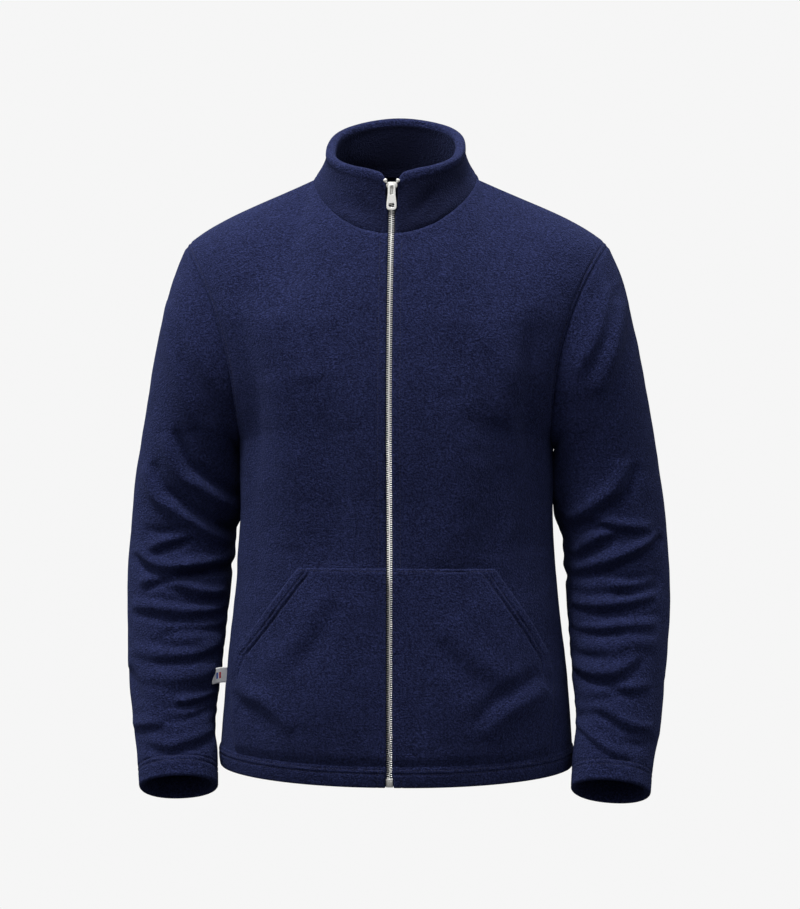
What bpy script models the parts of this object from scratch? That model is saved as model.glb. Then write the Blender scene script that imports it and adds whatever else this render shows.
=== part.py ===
"""Fleece zip jacket with a stand collar and two front pockets, hollow, in the form it takes when worn.

Metres, +Z up, the front towards -Y and the wearer's left at +X. The origin is the centre of the
neck opening, level with the points where the shoulder seams meet the collar: the wearer's
shoulders hold the jacket there. Every cloth piece is a wall cut from one garment surface, so
neighbouring pieces share their seam line and stay a seam gap apart.
"""

import math
from collections import defaultdict, namedtuple

import bmesh
import bpy
from mathutils import Matrix, Vector

FLEECE = 0.0024  # one layer of brushed fleece
HEM_WALL = 0.0046  # the same fleece turned up once
COLLAR_WALL = 0.0060  # outer and inner collar with their seam allowances
SEAM_GAP = 0.0004
NECK_GAP = 0.0008  # at the collar's thicker edge
LAY_GAP = 0.0006  # between a panel and what is sewn flat on it

# Zip, a size 5 metal chain
FRONT_EDGE = 0.0036  # from the centre line to the fleece
CHAIN_EDGES = (0.00015, 0.0029)
CHAIN_DEPTH = (0.0006, 0.0032)  # below the outer face of the fleece
TAPE_EDGES = (0.0032, 0.0150)
TAPE_WALL = 0.0008
BOX_SIZE = (0.0080, 0.0042, 0.0105)
BOX_Z = -0.6826
SLIDER_Z = -0.0120
SLIDER_TOP, SLIDER_BOTTOM = 0.0060, -0.0065  # above and below its own centre
SLIDER_HALF_WIDTHS = (0.0042, 0.0060)  # at its bottom and its top
PLATE_FACES = (-0.0016, 0.0003, 0.0036, 0.0048)  # depths of its two plates' faces
STOP_SIZE = (0.0020, 0.0026, 0.0042)
STOP_X, STOP_Z = 0.0054, -0.0024
HINGE_PROUD = 0.0031  # the pull's axis, in front of the outer face of the fleece
HINGE_RISE = 0.0015  # and above the slider's centre
BAIL_RADII = (0.0013, 0.0025)
BAIL_WIDTH = 0.0016
PULL_WALL = 0.0013
PULL_LENGTH = 0.0280  # from its axis to its lower end
PULL_WIDTHS = (0.0084, 0.0092, 0.0114)  # at the axis, the middle and the lower end
PULL_LEAN = 3.2  # degrees, towards the fleece below
SLOT = (0.0034, 0.0010, 0.0105)  # width, and start and end below the axis
HOLE = (0.0058, 0.0042, 0.0226)  # width, height and depth of its centre below the axis

LEFT, RIGHT = 1, -1  # the wearer's left is +X
FRONT, BACK = -1, 1

Section = namedtuple("Section", "name z_front z_side z_back half_width front back square armhole")
BODY = [
    Section("hem", -0.688, -0.681, -0.685, 0.2025, 0.127, 0.120, 2.40, 180),
    Section("hem_stitch", -0.661, -0.654, -0.657, 0.2038, 0.130, 0.123, 2.40, 180),
    Section("pocket_low", -0.577, -0.573, -0.574, 0.1972, 0.131, 0.120, 2.40, 180),
    Section("hip", -0.510, -0.508, -0.505, 0.1895, 0.129, 0.113, 2.35, 180),
    Section("pocket_top", -0.440, -0.444, -0.438, 0.1836, 0.128, 0.107, 2.30, 180),
    Section("ribs", -0.380, -0.388, -0.375, 0.1806, 0.131, 0.107, 2.30, 180),
    Section("underarm", -0.328, -0.338, -0.322, 0.1812, 0.136, 0.113, 2.30, 180),
    Section("armpit", -0.284, -0.300, -0.276, 0.1815, 0.138, 0.119, 2.30, 180),
    Section("chest", -0.232, -0.250, -0.222, 0.1850, 0.137, 0.124, 2.40, 122),
    Section("yoke", -0.166, -0.170, -0.150, 0.1950, 0.127, 0.119, 2.50, 76),
]
ARMPIT_ROW, YOKE_ROW, TOP_ROW = 7, 9, 10
BODY_ROWS = (
    [0.0, 0.92, 1.0, 1.5, 2.0, 2.5, 3.0, 3.5, 4.0, 5.0, 6.0]
    + [ARMPIT_ROW + i / 3 for i in range(6)]
    + [YOKE_ROW + i / 5 for i in range(6)]
)
HEM_ROWS = 2  # rows of the panels that are turned up

NECK_SHARE = 0.46  # of a panel's columns, those that end on the neckline
NECK_COLUMNS, SHOULDER_COLUMNS = 7, 5
COLUMNS = [NECK_SHARE * i / NECK_COLUMNS for i in range(NECK_COLUMNS)] + [
    NECK_SHARE + (1 - NECK_SHARE) * i / SHOULDER_COLUMNS for i in range(SHOULDER_COLUMNS + 1)
]

ARMPIT = Vector((0.1815, 0.0, -0.300))
SHOULDER_TIP = Vector((0.2437, 0.004, -0.077))
ARMHOLE_HALF_DEPTH = {FRONT: 0.080, BACK: 0.086}
ARMHOLE_CURVE = 2.4  # how late the armhole leans out to the shoulder tip

Ring = namedtuple("Ring", "half_width y_centre half_depth z_front z_side z_back")
NECK_BASE = Ring(0.0935, -0.015, 0.081, -0.064, 0.0, 0.014)
NECK_TOP = Ring(0.0785, -0.014, 0.071, 0.008, 0.040, 0.075)

SleeveRing = namedtuple("SleeveRing", "name outer inner half_depth lift")
SLEEVE = [
    SleeveRing("armhole", (0.2437, 0.004, -0.077), (0.1815, 0.000, -0.300), 0.083, 0.000),
    SleeveRing("cap", (0.2622, 0.006, -0.124), (0.1925, 0.004, -0.306), 0.084, 0.000),
    SleeveRing("upper", (0.2772, 0.010, -0.185), (0.1912, 0.013, -0.321), 0.082, 0.000),
    SleeveRing("biceps", (0.2897, 0.014, -0.248), (0.1878, 0.023, -0.341), 0.079, 0.000),
    SleeveRing("mid_arm", (0.3024, 0.020, -0.322), (0.1866, 0.028, -0.368), 0.075, 0.000),
    SleeveRing("above_elbow", (0.3125, 0.023, -0.395), (0.1915, 0.028, -0.410), 0.071, 0.004),
    SleeveRing("elbow", (0.3170, 0.019, -0.455), (0.1972, 0.020, -0.455), 0.066, 0.010),
    SleeveRing("forearm", (0.3160, 0.006, -0.515), (0.2008, 0.004, -0.508), 0.061, 0.016),
    SleeveRing("low_forearm", (0.3105, -0.013, -0.590), (0.2070, -0.016, -0.578), 0.053, 0.020),
    SleeveRing("wrist", (0.3035, -0.030, -0.640), (0.2110, -0.033, -0.632), 0.045, 0.020),
    SleeveRing("cuff_stitch", (0.2980, -0.040, -0.668), (0.2075, -0.042, -0.661), 0.041, 0.020),
    SleeveRing("cuff_edge", (0.2938, -0.054, -0.706), (0.2052, -0.056, -0.700), 0.037, 0.020),
]
SLEEVE_SQUARE = 2.15
SLEEVE_ROWS = [0.0, 0.5, 1.0, 1.5, 2.0, 3.0] + [3.5 + 0.5 * i for i in range(8)] + [8.0, 9.0, 10.0, 10.1, 11.0]
CUFF_ROWS = 2  # rows of the sleeves that are turned up

# Troughs and ridges pressed into a sleeve where the arm bends. Angle 0 is the outer edge, 90 the
# front, 180 the inner edge; along is a row of SLEEVE, climb is rows gained over 90 degrees.
Fold = namedtuple("Fold", "along angle width spread climb depth")
SLEEVE_FOLDS = [
    Fold(5.0, 165, 0.42, 60, -0.35, -0.0060),
    Fold(5.6, 160, 0.40, 62, -0.20, 0.0035),
    Fold(6.2, 165, 0.42, 66, -0.10, -0.0050),
    Fold(7.2, 150, 0.50, 70, 0.15, -0.0040),
    Fold(9.0, 170, 0.60, 70, 0.20, -0.0040),
]

PocketRow = namedtuple("PocketRow", "row right left")
POCKET = [  # how far the pocket reaches from the centre line, at rows of BODY
    PocketRow(1.0, 0.1790, 0.1780),
    PocketRow(2.0, 0.1800, 0.1782),
    PocketRow(2.5, 0.1712, 0.1712),
    PocketRow(3.0, 0.1492, 0.1555),
    PocketRow(4.0, 0.1030, 0.1165),
]

CORNER_RADIUS = 0.011  # of the collar's top corners at the zip
CORNER_STATIONS = (0.0, 1.2, 4.0, 8.0)  # degrees round the collar
COLLAR_RISES = (0.0, 0.12, 0.30, 0.55, 0.80, 1.0)
RIM_ANGLES = (35, 90, 145)  # over the collar's rounded top

LABEL_SIZE = (0.0205, 0.0010, 0.0180)
LABEL_FROM = (-0.1962, -0.0280, -0.5750)  # the middle of its sewn edge
LABEL_HEADING = 222  # degrees from +X: outwards and to the front

COLOURS = {
    "fleece": ((0.017, 0.022, 0.085), 0.95, 0.0),
    "zip_tape": ((0.012, 0.015, 0.050), 0.90, 0.0),
    "zip_metal": ((0.62, 0.61, 0.58), 0.32, 1.0),
    "label": ((0.85, 0.85, 0.86), 0.60, 0.0),
}


# ---------------------------------------------------------------- curves and sections


def spline(values, at):
    """Catmull-Rom value through evenly numbered values."""
    i = min(int(at), len(values) - 2)
    f = at - i
    before, a, b, after = (values[min(max(i + k, 0), len(values) - 1)] for k in (-1, 0, 1, 2))
    return a + 0.5 * f * (
        b - before + f * (2 * before - 5 * a + 4 * b - after + f * (3 * (a - b) + after - before))
    )


def smooth_step(x, low, high):
    f = min(max((x - low) / (high - low), 0.0), 1.0)
    return f * f * (3 - 2 * f)


def power(value, exponent):
    """A power that keeps the sign."""
    return math.copysign(abs(value) ** exponent, value)


def body_value(column, row):
    return spline([getattr(section, column) for section in BODY], min(row, YOKE_ROW))


def armhole_angle(row):
    """180 degrees at the armpit, 0 at the shoulder tip."""
    if row <= ARMPIT_ROW:
        return 180.0
    marks = [section.armhole for section in BODY[ARMPIT_ROW:]] + [0.0]
    i = min(int(row - ARMPIT_ROW), len(marks) - 2)
    return marks[i] + (marks[i + 1] - marks[i]) * (row - ARMPIT_ROW - i)


def armhole_point(angle, face):
    """A point of the armhole seam on the +X side."""
    turn = math.radians(angle)
    up = (1 + math.cos(turn)) / 2
    return Vector(
        (
            ARMPIT.x + (SHOULDER_TIP.x - ARMPIT.x) * up**ARMHOLE_CURVE,
            SHOULDER_TIP.y * up + face * ARMHOLE_HALF_DEPTH[face] * power(math.sin(turn), 0.9),
            ARMPIT.z + (SHOULDER_TIP.z - ARMPIT.z) * up,
        )
    )


def ring_point(ring, turn):
    """A point of a neck ring: turn is 0 at the centre front, 90 at the +X side and 180 at the back."""
    a = math.radians(turn)
    slope = (ring.z_front - ring.z_back) / 2
    sag = ((ring.z_front + ring.z_back) / 2 - ring.z_side) / 2
    return Vector(
        (
            ring.half_width * math.sin(a),
            ring.y_centre - ring.half_depth * math.cos(a),
            ring.z_side + sag + slope * math.cos(a) + sag * math.cos(2 * a),
        )
    )


def shoulder_point(share):
    """A point of the shoulder seam, from the neck to the shoulder tip; it drops faster near the tip."""
    neck = ring_point(NECK_BASE, 90)
    point = neck.lerp(SHOULDER_TIP, share)
    point.z = neck.z + (SHOULDER_TIP.z - neck.z) * (0.86 * share + 0.14 * share**6)
    return point


def top_point(column, face):
    """The top edge of a panel: the neckline, then the shoulder seam."""
    if column <= NECK_SHARE:
        quarter = 90 * column / NECK_SHARE
        return ring_point(NECK_BASE, quarter if face == FRONT else 180 - quarter)
    return shoulder_point((column - NECK_SHARE) / (1 - NECK_SHARE))


def section_point(column, row, face):
    """A point of a panel up to the yoke, on a rounded section that ends at the side seam or armhole."""
    square = body_value("square", row)
    depth = body_value("front" if face == FRONT else "back", row)
    z_centre = body_value("z_front" if face == FRONT else "z_back", row)
    if row <= ARMPIT_ROW:
        edge = Vector((body_value("half_width", row), 0.0, body_value("z_side", row)))
    else:
        edge = armhole_point(armhole_angle(row), face)
    end = math.acos(min(abs(edge.y) / depth, 1.0) ** (square / 2))
    turn = column * end
    x = edge.x * (math.sin(turn) / math.sin(end)) ** (2 / square)
    return Vector(
        (
            x,
            face * depth * max(math.cos(turn), 0.0) ** (2 / square),
            z_centre + (edge.z - z_centre) * (x / edge.x) ** 2,
        )
    )


def yoke_point(column, row, face):
    """A point above the yoke row, on a curve that rises and rolls over to the neckline or shoulder."""
    rise = row - YOKE_ROW
    low, top = section_point(column, YOKE_ROW, face), top_point(column, face)
    straight = low.lerp(top, rise)
    quarter = rise * math.pi / 2
    rolled = low.lerp(top, 1 - math.cos(quarter))
    rolled.z = low.z + (top.z - low.z) * math.sin(quarter)
    return straight.lerp(rolled, 0.30 + 0.60 * smooth_step(column, 0.4, 0.9))


def panel_point(column, row, face):
    """A point of a front or back panel on the +X side."""
    if row <= YOKE_ROW:
        return section_point(column, row, face)
    point = yoke_point(column, row, face)
    edge = armhole_point(armhole_angle(row), face)
    return point + (edge - yoke_point(1.0, row, face)) * column**3


def front_edge(z):
    """The fleece's distance from the centre line: wider at the zip's box and round its slider."""
    box = 0.0012 * (1 - smooth_step(z, BOX_Z + 0.004, BOX_Z + 0.014))
    slider = 0.0034 * smooth_step(z, SLIDER_Z - 0.030, SLIDER_Z - 0.006)
    return FRONT_EDGE + box + slider


def edge_shift(share, z):
    """How far a point moves off the centre line, by its share of the way to the neck's side."""
    return front_edge(z) * max(1 - share, 0.0) ** 3


def front_point(column, row):
    point = panel_point(column, row, FRONT)
    point.x += edge_shift(column / NECK_SHARE, point.z)
    return point


def fold_height(along, angle):
    """How far the folds push a sleeve's point out."""
    height = 0.0
    for fold in SLEEVE_FOLDS:
        turn = (angle - fold.angle + 180) % 360 - 180
        across = (along - fold.along - fold.climb * turn / 90) / fold.width
        height += fold.depth * math.exp(-(across**2) - (turn / fold.spread) ** 2)
    return height


def sleeve_frame(row):
    """Centre, outward half-axis and forward half-axis of a sleeve's ring."""
    outer = Vector([spline([ring.outer[k] for ring in SLEEVE], row) for k in range(3)])
    inner = Vector([spline([ring.inner[k] for ring in SLEEVE], row) for k in range(3)])
    half_depth = spline([ring.half_depth for ring in SLEEVE], row)
    lift = spline([ring.lift for ring in SLEEVE], row)
    return (outer + inner) / 2, (outer - inner) / 2, Vector((0.0, -half_depth, lift))


def oval_point(row, angle):
    centre, out, forward = sleeve_frame(row)
    turn = math.radians(angle)
    share = 2 / SLEEVE_SQUARE
    return centre + out * power(math.cos(turn), share) + forward * power(math.sin(turn), share)


def sleeve_point(row, angle):
    """A point of a sleeve on the +X side; its first rings follow the armhole seam."""
    face = FRONT if angle <= 180 else BACK
    fit = armhole_point(angle if face == FRONT else 360 - angle, face) - oval_point(0.0, angle)
    centre, out, forward = sleeve_frame(row)
    turn = math.radians(angle)
    outwards = (out.normalized() * math.cos(turn) + forward.normalized() * math.sin(turn)).normalized()
    point = oval_point(row, angle) + fit * max(1 - row / 3, 0.0) ** 2
    return point + outwards * fold_height(row, angle)


def neckline_point(turn):
    """A point of the collar's seam, on straight lines between the panels' own points."""
    step = 90 / NECK_COLUMNS
    i = min(int(turn / step), 2 * NECK_COLUMNS - 1)
    ends = []
    for end_turn in (step * i, step * (i + 1)):
        end = ring_point(NECK_BASE, end_turn)
        end.x += edge_shift(end_turn / 90, end.z)
        ends.append(end)
    return ends[0].lerp(ends[1], turn / step - i)


def corner_drop(from_edge):
    """How much lower the collar's top is, by the distance from its front edge."""
    short = max(CORNER_RADIUS - from_edge, 0.0)
    return CORNER_RADIUS - math.sqrt(CORNER_RADIUS**2 - min(short, CORNER_RADIUS) ** 2)


def collar_point(turn, rise):
    """A point of the collar's outer face: rise is 0 on the neckline and 1 where the top rounds over."""
    base, top = neckline_point(turn), ring_point(NECK_TOP, turn)
    top.z -= COLLAR_WALL / 2 + (corner_drop(top.x) if turn < 90 else 0.0)
    lean = (1 - rise) ** 1.8
    point = Vector((0.0, top.y + (base.y - top.y) * lean, base.z + (top.z - base.z) * rise))
    shift = edge_shift(turn / 90, point.z)
    base_x = base.x - edge_shift(turn / 90, base.z)
    point.x = top.x + (base_x - top.x) * lean + shift
    return point


# ---------------------------------------------------------------- cloth walls


def mirrored(point, side):
    return Vector((point.x * side, point.y, point.z))


def place_key(point):
    return tuple(round(c, 6) for c in point)


def grid_cells(grid, wrap):
    width = len(grid[0])
    for i in range(len(grid) - 1):
        for j in range(width if wrap else width - 1):
            k = (j + 1) % width
            yield grid[i][j], grid[i][k], grid[i + 1][k], grid[i + 1][j]


def shared_normals(sheets):
    """One outward normal for each point, averaged over every sheet that meets there."""
    total = defaultdict(Vector)
    for grid, wrap, sign in sheets:
        for cell in grid_cells(grid, wrap):
            normal = (cell[2] - cell[0]).cross(cell[3] - cell[1]).normalized() * sign
            for corner in cell:
                total[place_key(corner)] += normal
    return {key: normal.normalized() for key, normal in total.items()}


def evened(normals, ring, passes=2):
    """Evens the normals round a seam, so that both rims there twist alike."""
    keys = [place_key(point) for point in ring]
    for _ in range(passes):
        around = zip(keys[-1:] + keys[:-1], keys, keys[1:] + keys[:1])
        even = [(normals[a] + normals[b] * 2 + normals[c]).normalized() for a, b, c in around]
        normals.update(zip(keys, even))


def drawn_in(grid, edges, pull=SEAM_GAP / 2):
    """The grid with the named edges pulled into the piece."""
    rows, columns = len(grid), len(grid[0])
    inwards = {"first_row": (0, 1), "last_row": (rows - 1, rows - 2)}
    inwards.update({"first_column": (0, 1), "last_column": (columns - 1, columns - 2)})
    moved = [[point.copy() for point in row] for row in grid]
    for edge in edges:
        at, beside = inwards[edge]
        for k in range(columns if edge.endswith("row") else rows):
            if edge.endswith("row"):
                moved[at][k] += (grid[beside][k] - grid[at][k]).normalized() * pull
            else:
                moved[k][at] += (grid[k][beside] - grid[k][at]).normalized() * pull
    return moved


def finish(name, bm, colour):
    bmesh.ops.remove_doubles(bm, verts=bm.verts, dist=1e-6)
    bmesh.ops.recalc_face_normals(bm, faces=bm.faces)
    mesh = bpy.data.meshes.new(name)
    bm.to_mesh(mesh)
    bm.free()
    mesh.shade_smooth()
    mesh.set_sharp_from_angle(angle=math.radians(40))
    mesh.materials.append(material(colour))
    obj = bpy.data.objects.new(name, mesh)
    bpy.context.collection.objects.link(obj)
    return obj


def material(colour):
    found = bpy.data.materials.get(colour)
    if found:
        return found
    made = bpy.data.materials.new(colour)
    made.use_nodes = True
    rgb, roughness, metallic = COLOURS[colour]
    shader = made.node_tree.nodes["Principled BSDF"]
    shader.inputs["Base Color"].default_value = (*rgb, 1.0)
    shader.inputs["Roughness"].default_value = roughness
    shader.inputs["Metallic"].default_value = metallic
    return made


def wall(name, outer, inner, wrap=False, colour="fleece"):
    """A closed wall between two grids of points, with rims along its open edges."""
    bm = bmesh.new()
    outside = [[bm.verts.new(point) for point in row] for row in outer]
    inside = [[bm.verts.new(point) for point in row] for row in inner]
    for cell in grid_cells(outside, wrap):
        bm.faces.new(cell)
    for cell in grid_cells(inside, wrap):
        bm.faces.new(cell[::-1])
    rims = [(outside[0], inside[0]), (inside[-1], outside[-1])]
    if not wrap:
        rims.append(([row[-1] for row in outside], [row[-1] for row in inside]))
        rims.append(([row[0] for row in inside], [row[0] for row in outside]))
    for rim in rims:
        for cell in grid_cells(rim, wrap):
            bm.faces.new(cell)
    return finish(name, bm, colour)


def pushed(grid, source, normals, depth):
    """The grid moved along its source points' normals by depth, a number or one for each row."""
    return [
        [
            point + normals[place_key(origin)] * (depth[i] if isinstance(depth, list) else depth)
            for point, origin in zip(row, source_row)
        ]
        for i, (row, source_row) in enumerate(zip(grid, source))
    ]


def turned_up(rows, turned):
    """The wall's depth below each row, of which the first few are turned up."""
    return [-HEM_WALL] * turned + [-FLEECE] * (rows - turned)


def front_grid(side):
    return [[mirrored(front_point(c, r), side) for c in COLUMNS] for r in BODY_ROWS]


def back_grid():
    across = [(c, RIGHT) for c in COLUMNS[:0:-1]] + [(c, LEFT) for c in COLUMNS]
    return [[mirrored(panel_point(c, r, BACK), side) for c, side in across] for r in BODY_ROWS]


def sleeve_grid(side):
    down = [armhole_angle(r) for r in BODY_ROWS if r >= ARMPIT_ROW]
    around = down[::-1] + [360 - angle for angle in down[1:-1]]
    return [[mirrored(sleeve_point(r, a), side) for a in around] for r in SLEEVE_ROWS]


def collar_grid():
    """Round the collar from the wearer's right of the zip, by the back, to the left of it."""
    step = 90 / NECK_COLUMNS
    half = list(CORNER_STATIONS) + [step * i for i in range(1, 2 * NECK_COLUMNS + 1)]
    stations = [(turn, RIGHT) for turn in half] + [(turn, LEFT) for turn in half[-2::-1]]
    return [[mirrored(collar_point(t, rise), side) for t, side in stations] for rise in COLLAR_RISES]


def pocket_grid(side):
    """The front's own points, as far out as the pocket's slanted and side edges."""
    rows = [row for row in BODY_ROWS if POCKET[0].row <= row <= POCKET[-1].row]
    grid = []
    for row in rows:
        reach = pocket_reach(row, side)
        edge = (reach / body_value("half_width", row)) ** (body_value("square", row) / 2)
        last = math.asin(edge) / (math.pi / 2)
        grid.append([mirrored(front_point(min(c, last), row), side) for c in COLUMNS])
    return grid


def pocket_reach(row, side):
    for low, high in zip(POCKET, POCKET[1:]):
        if row <= high.row:
            share = (row - low.row) / (high.row - low.row)
            ends = [mark.left if side == LEFT else mark.right for mark in (low, high)]
            return ends[0] + (ends[1] - ends[0]) * share
    return POCKET[-1].left


# ---------------------------------------------------------------- cloth pieces


def panel(name, grid, normals, seams, depth, wrap=False):
    outer = drawn_in(grid, seams)
    wall(name, outer, pushed(outer, grid, normals, depth), wrap)


def build_collar(grid, normals):
    """One closed section for each station: up the outer face, over the top and down the inner face."""
    outer = drawn_in(grid, ["first_row"], NECK_GAP - SEAM_GAP / 2)
    inner = pushed(outer, grid, normals, -COLLAR_WALL)
    top, below = outer[-1], outer[-2]
    over = []
    for degrees in RIM_ANGLES:
        turn = math.radians(degrees)
        row = []
        for a, b, under in zip(top, inner[-1], below):
            up = (a - under).normalized() * COLLAR_WALL / 2
            row.append((a + b) / 2 + (a - b) / 2 * math.cos(turn) + up * math.sin(turn))
        over.append(row)
    rows = outer + over + inner[::-1]
    bm = bmesh.new()
    points = [[bm.verts.new(point) for point in row] for row in rows]
    for cell in grid_cells(points + [points[0]], False):
        bm.faces.new(cell)
    for column in (0, -1):
        bm.faces.new([row[column] for row in points])
    finish("collar", bm, "fleece")


def build_pocket(name, side):
    grid = pocket_grid(side)
    normals = shared_normals([(grid, False, side)])
    inner = pushed(grid, grid, normals, LAY_GAP)
    outer = pushed(grid, grid, normals, LAY_GAP + FLEECE)
    wall(name, outer, inner)


def build_cloth():
    """The panels, sleeves, collar and pockets. Returns the grids and normals that the zip follows."""
    fronts = {side: front_grid(side) for side in (LEFT, RIGHT)}
    sleeves = {side: sleeve_grid(side) for side in (LEFT, RIGHT)}
    back, collar = back_grid(), collar_grid()
    sheets = [(grid, False, side) for side, grid in fronts.items()]
    sheets += [(grid, True, side) for side, grid in sleeves.items()]
    sheets += [(back, False, -1), (collar, False, -1)]
    normals = shared_normals(sheets)
    for grid in sleeves.values():
        evened(normals, grid[0])

    hem = turned_up(len(BODY_ROWS), HEM_ROWS)
    cuff = turned_up(len(SLEEVE_ROWS), CUFF_ROWS)[::-1]
    for side, hand in ((LEFT, "left"), (RIGHT, "right")):
        panel(f"front_{hand}", fronts[side], normals, ["last_row", "last_column"], hem)
        panel(f"sleeve_{hand}", sleeves[side], normals, ["first_row"], cuff, wrap=True)
        build_pocket(f"pocket_{hand}", side)
    panel("back", back, normals, ["last_row", "first_column", "last_column"], hem)
    build_collar(collar, normals)
    return fronts, collar, normals, hem


# ---------------------------------------------------------------- zip and label


def zip_rows(front, collar, normals, hem):
    """Up one front and the collar: its edge point, the next point round, their normals, the wall."""
    column = 0 if front[0][0].x * collar[0][0].x > 0 else -1
    beside = len(CORNER_STATIONS) if column == 0 else -1 - len(CORNER_STATIONS)
    rows = [(row[0], row[1], -depth) for row, depth in zip(front[:-1], hem)]
    rows += [(row[column], row[beside], COLLAR_WALL) for row in collar]
    return [(a, b, normals[place_key(a)], normals[place_key(b)], deep) for a, b, deep in rows]


def centre_path(rows):
    """The line down the middle of the zip, level with the fleece: points and outward normals."""
    path = []
    for edge, _, normal, _, _ in rows:
        path.append((Vector((0.0, edge.y, edge.z)), Vector((0.0, normal.y, normal.z)).normalized()))
    return path


def path_at(path, z):
    for (low, low_normal), (high, high_normal) in zip(path, path[1:]):
        if z <= high.z:
            break
    share = (z - low.z) / (high.z - low.z)
    return low.lerp(high, share), low_normal.lerp(high_normal, share).normalized()


def build_tape(name, side, rows):
    outer, inner = [], []
    for edge, beside, edge_normal, beside_normal, deep in rows:
        faces = ([], [])
        for x in TAPE_EDGES:
            share = (side * x - edge.x) / (beside.x - edge.x)
            point = edge.lerp(beside, share)
            normal = edge_normal.lerp(beside_normal, share).normalized()
            faces[0].append(point - normal * (deep + LAY_GAP))
            faces[1].append(point - normal * (deep + LAY_GAP + TAPE_WALL))
        outer.append(faces[0])
        inner.append(faces[1])
    wall(name, outer, inner, colour="zip_tape")


def build_chain(name, side, path):
    """One side of the closed teeth, as a plain strip."""
    low, high = BOX_Z + BOX_SIZE[2] / 2 + SEAM_GAP, SLIDER_Z + SLIDER_TOP - 0.0036
    heights = [low] + [point.z for point, _ in path if low < point.z < high] + [high]
    outer, inner = [], []
    for z in heights:
        point, normal = path_at(path, z)
        across = [Vector((side * x, 0.0, 0.0)) for x in CHAIN_EDGES]
        outer.append([point + x - normal * CHAIN_DEPTH[0] for x in across])
        inner.append([point + x - normal * CHAIN_DEPTH[1] for x in across])
    wall(name, outer, inner, colour="zip_metal")


def placed(path, z):
    """A place on the zip: local Z runs up it and local -Y points outwards."""
    point, normal = path_at(path, z)
    tilt = math.atan2(normal.z, -normal.y)
    return Matrix.Translation(point) @ Matrix.Rotation(-tilt, 4, "X")


def prism(name, outline, direction, colour="zip_metal"):
    """A closed prism: a flat outline and the vector it is drawn along."""
    bm = bmesh.new()
    face = bm.faces.new([bm.verts.new(point) for point in outline])
    drawn = bmesh.ops.extrude_face_region(bm, geom=[face])["geom"]
    moved = [item for item in drawn if isinstance(item, bmesh.types.BMVert)]
    bmesh.ops.translate(bm, verts=moved, vec=direction)
    return finish(name, bm, colour)


def block(name, size, centre, colour="zip_metal"):
    bm = bmesh.new()
    bmesh.ops.create_cube(bm, size=1.0)
    bmesh.ops.scale(bm, vec=size, verts=bm.verts)
    bmesh.ops.translate(bm, vec=centre, verts=bm.verts)
    return finish(name, bm, colour)


def combine(obj, other, operation):
    """Unites or cuts an object with a hidden helper that takes its place."""
    other.parent = obj
    other.hide_render = True
    other.display_type = "WIRE"
    modifier = obj.modifiers.new(other.name, "BOOLEAN")
    modifier.operation = operation
    modifier.object = other


def arc(radius, start, end, steps=8):
    turns = [math.radians(start + (end - start) * i / steps) for i in range(steps + 1)]
    return [(radius * math.cos(turn), radius * math.sin(turn)) for turn in turns]


def build_slider(path):
    """Two plates joined by a bridge at the top, with a bail in front that holds the pull."""
    front, front_back, rear_front, rear = PLATE_FACES
    bridge = SLIDER_TOP - 0.0030
    side_view = [
        (front, SLIDER_BOTTOM + 0.0006),
        (front_back, SLIDER_BOTTOM),
        (front_back, bridge),
        (rear_front, bridge),
        (rear_front, SLIDER_BOTTOM),
        (rear, SLIDER_BOTTOM),
        (rear, SLIDER_TOP),
        (front, SLIDER_TOP - 0.0006),
    ]
    outline = [Vector((-0.5, y, z)) for y, z in side_view]
    slider = prism("zip_slider", outline, Vector((1.0, 0.0, 0.0)))
    narrow, wide = SLIDER_HALF_WIDTHS
    for vertex in slider.data.vertices:
        share = (vertex.co.z - SLIDER_BOTTOM) / (SLIDER_TOP - SLIDER_BOTTOM)
        vertex.co.x *= 2 * (narrow + (wide - narrow) * share)

    small, large = BAIL_RADII
    feet = HINGE_PROUD + front + 0.0004
    ring = [(-y, z) for y, z in arc(large, 90, -90)] + [(feet, -large), (feet, -small)]
    ring += [(-y, z) for y, z in arc(small, -90, 90)] + [(feet, small), (feet, large)]
    bail = prism(
        "bail",
        [Vector((-BAIL_WIDTH / 2, y - HINGE_PROUD, z + HINGE_RISE)) for y, z in ring],
        Vector((BAIL_WIDTH, 0.0, 0.0)),
    )
    combine(slider, bail, "UNION")
    slider.matrix_world = placed(path, SLIDER_Z)


def build_pull(path):
    """A flat tab that hangs from the bail, with its origin on the hinge's axis."""
    top, middle, low = (width / 2 for width in PULL_WIDTHS)
    bar = SLOT[1]
    corner = 0.0030
    right = [(top, bar), (top, -0.0060), (middle, -0.0125), (low, -PULL_LENGTH + 0.0065)]
    right += [
        (low - corner + x, -PULL_LENGTH + corner + z) for x, z in arc(corner, 0, -90, steps=4)
    ]
    outline = right + [(-x, z) for x, z in right[::-1]]
    half = PULL_WALL / 2
    pull = prism(
        "zip_pull", [Vector((x, -half, z)) for x, z in outline], Vector((0.0, PULL_WALL, 0.0))
    )
    width, start, end = SLOT
    slot = block("slot", (width, 0.01, end - start), (0.0, 0.0, -(start + end) / 2))
    combine(pull, slot, "DIFFERENCE")
    hole = block("hole", (HOLE[0], 0.01, HOLE[1]), (0.0, 0.0, -HOLE[2]))
    combine(pull, hole, "DIFFERENCE")
    lean = Matrix.Rotation(math.radians(-PULL_LEAN), 4, "X")
    hinge = Matrix.Translation((0.0, -HINGE_PROUD, HINGE_RISE))
    pull.matrix_world = placed(path, SLIDER_Z) @ hinge @ lean


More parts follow.
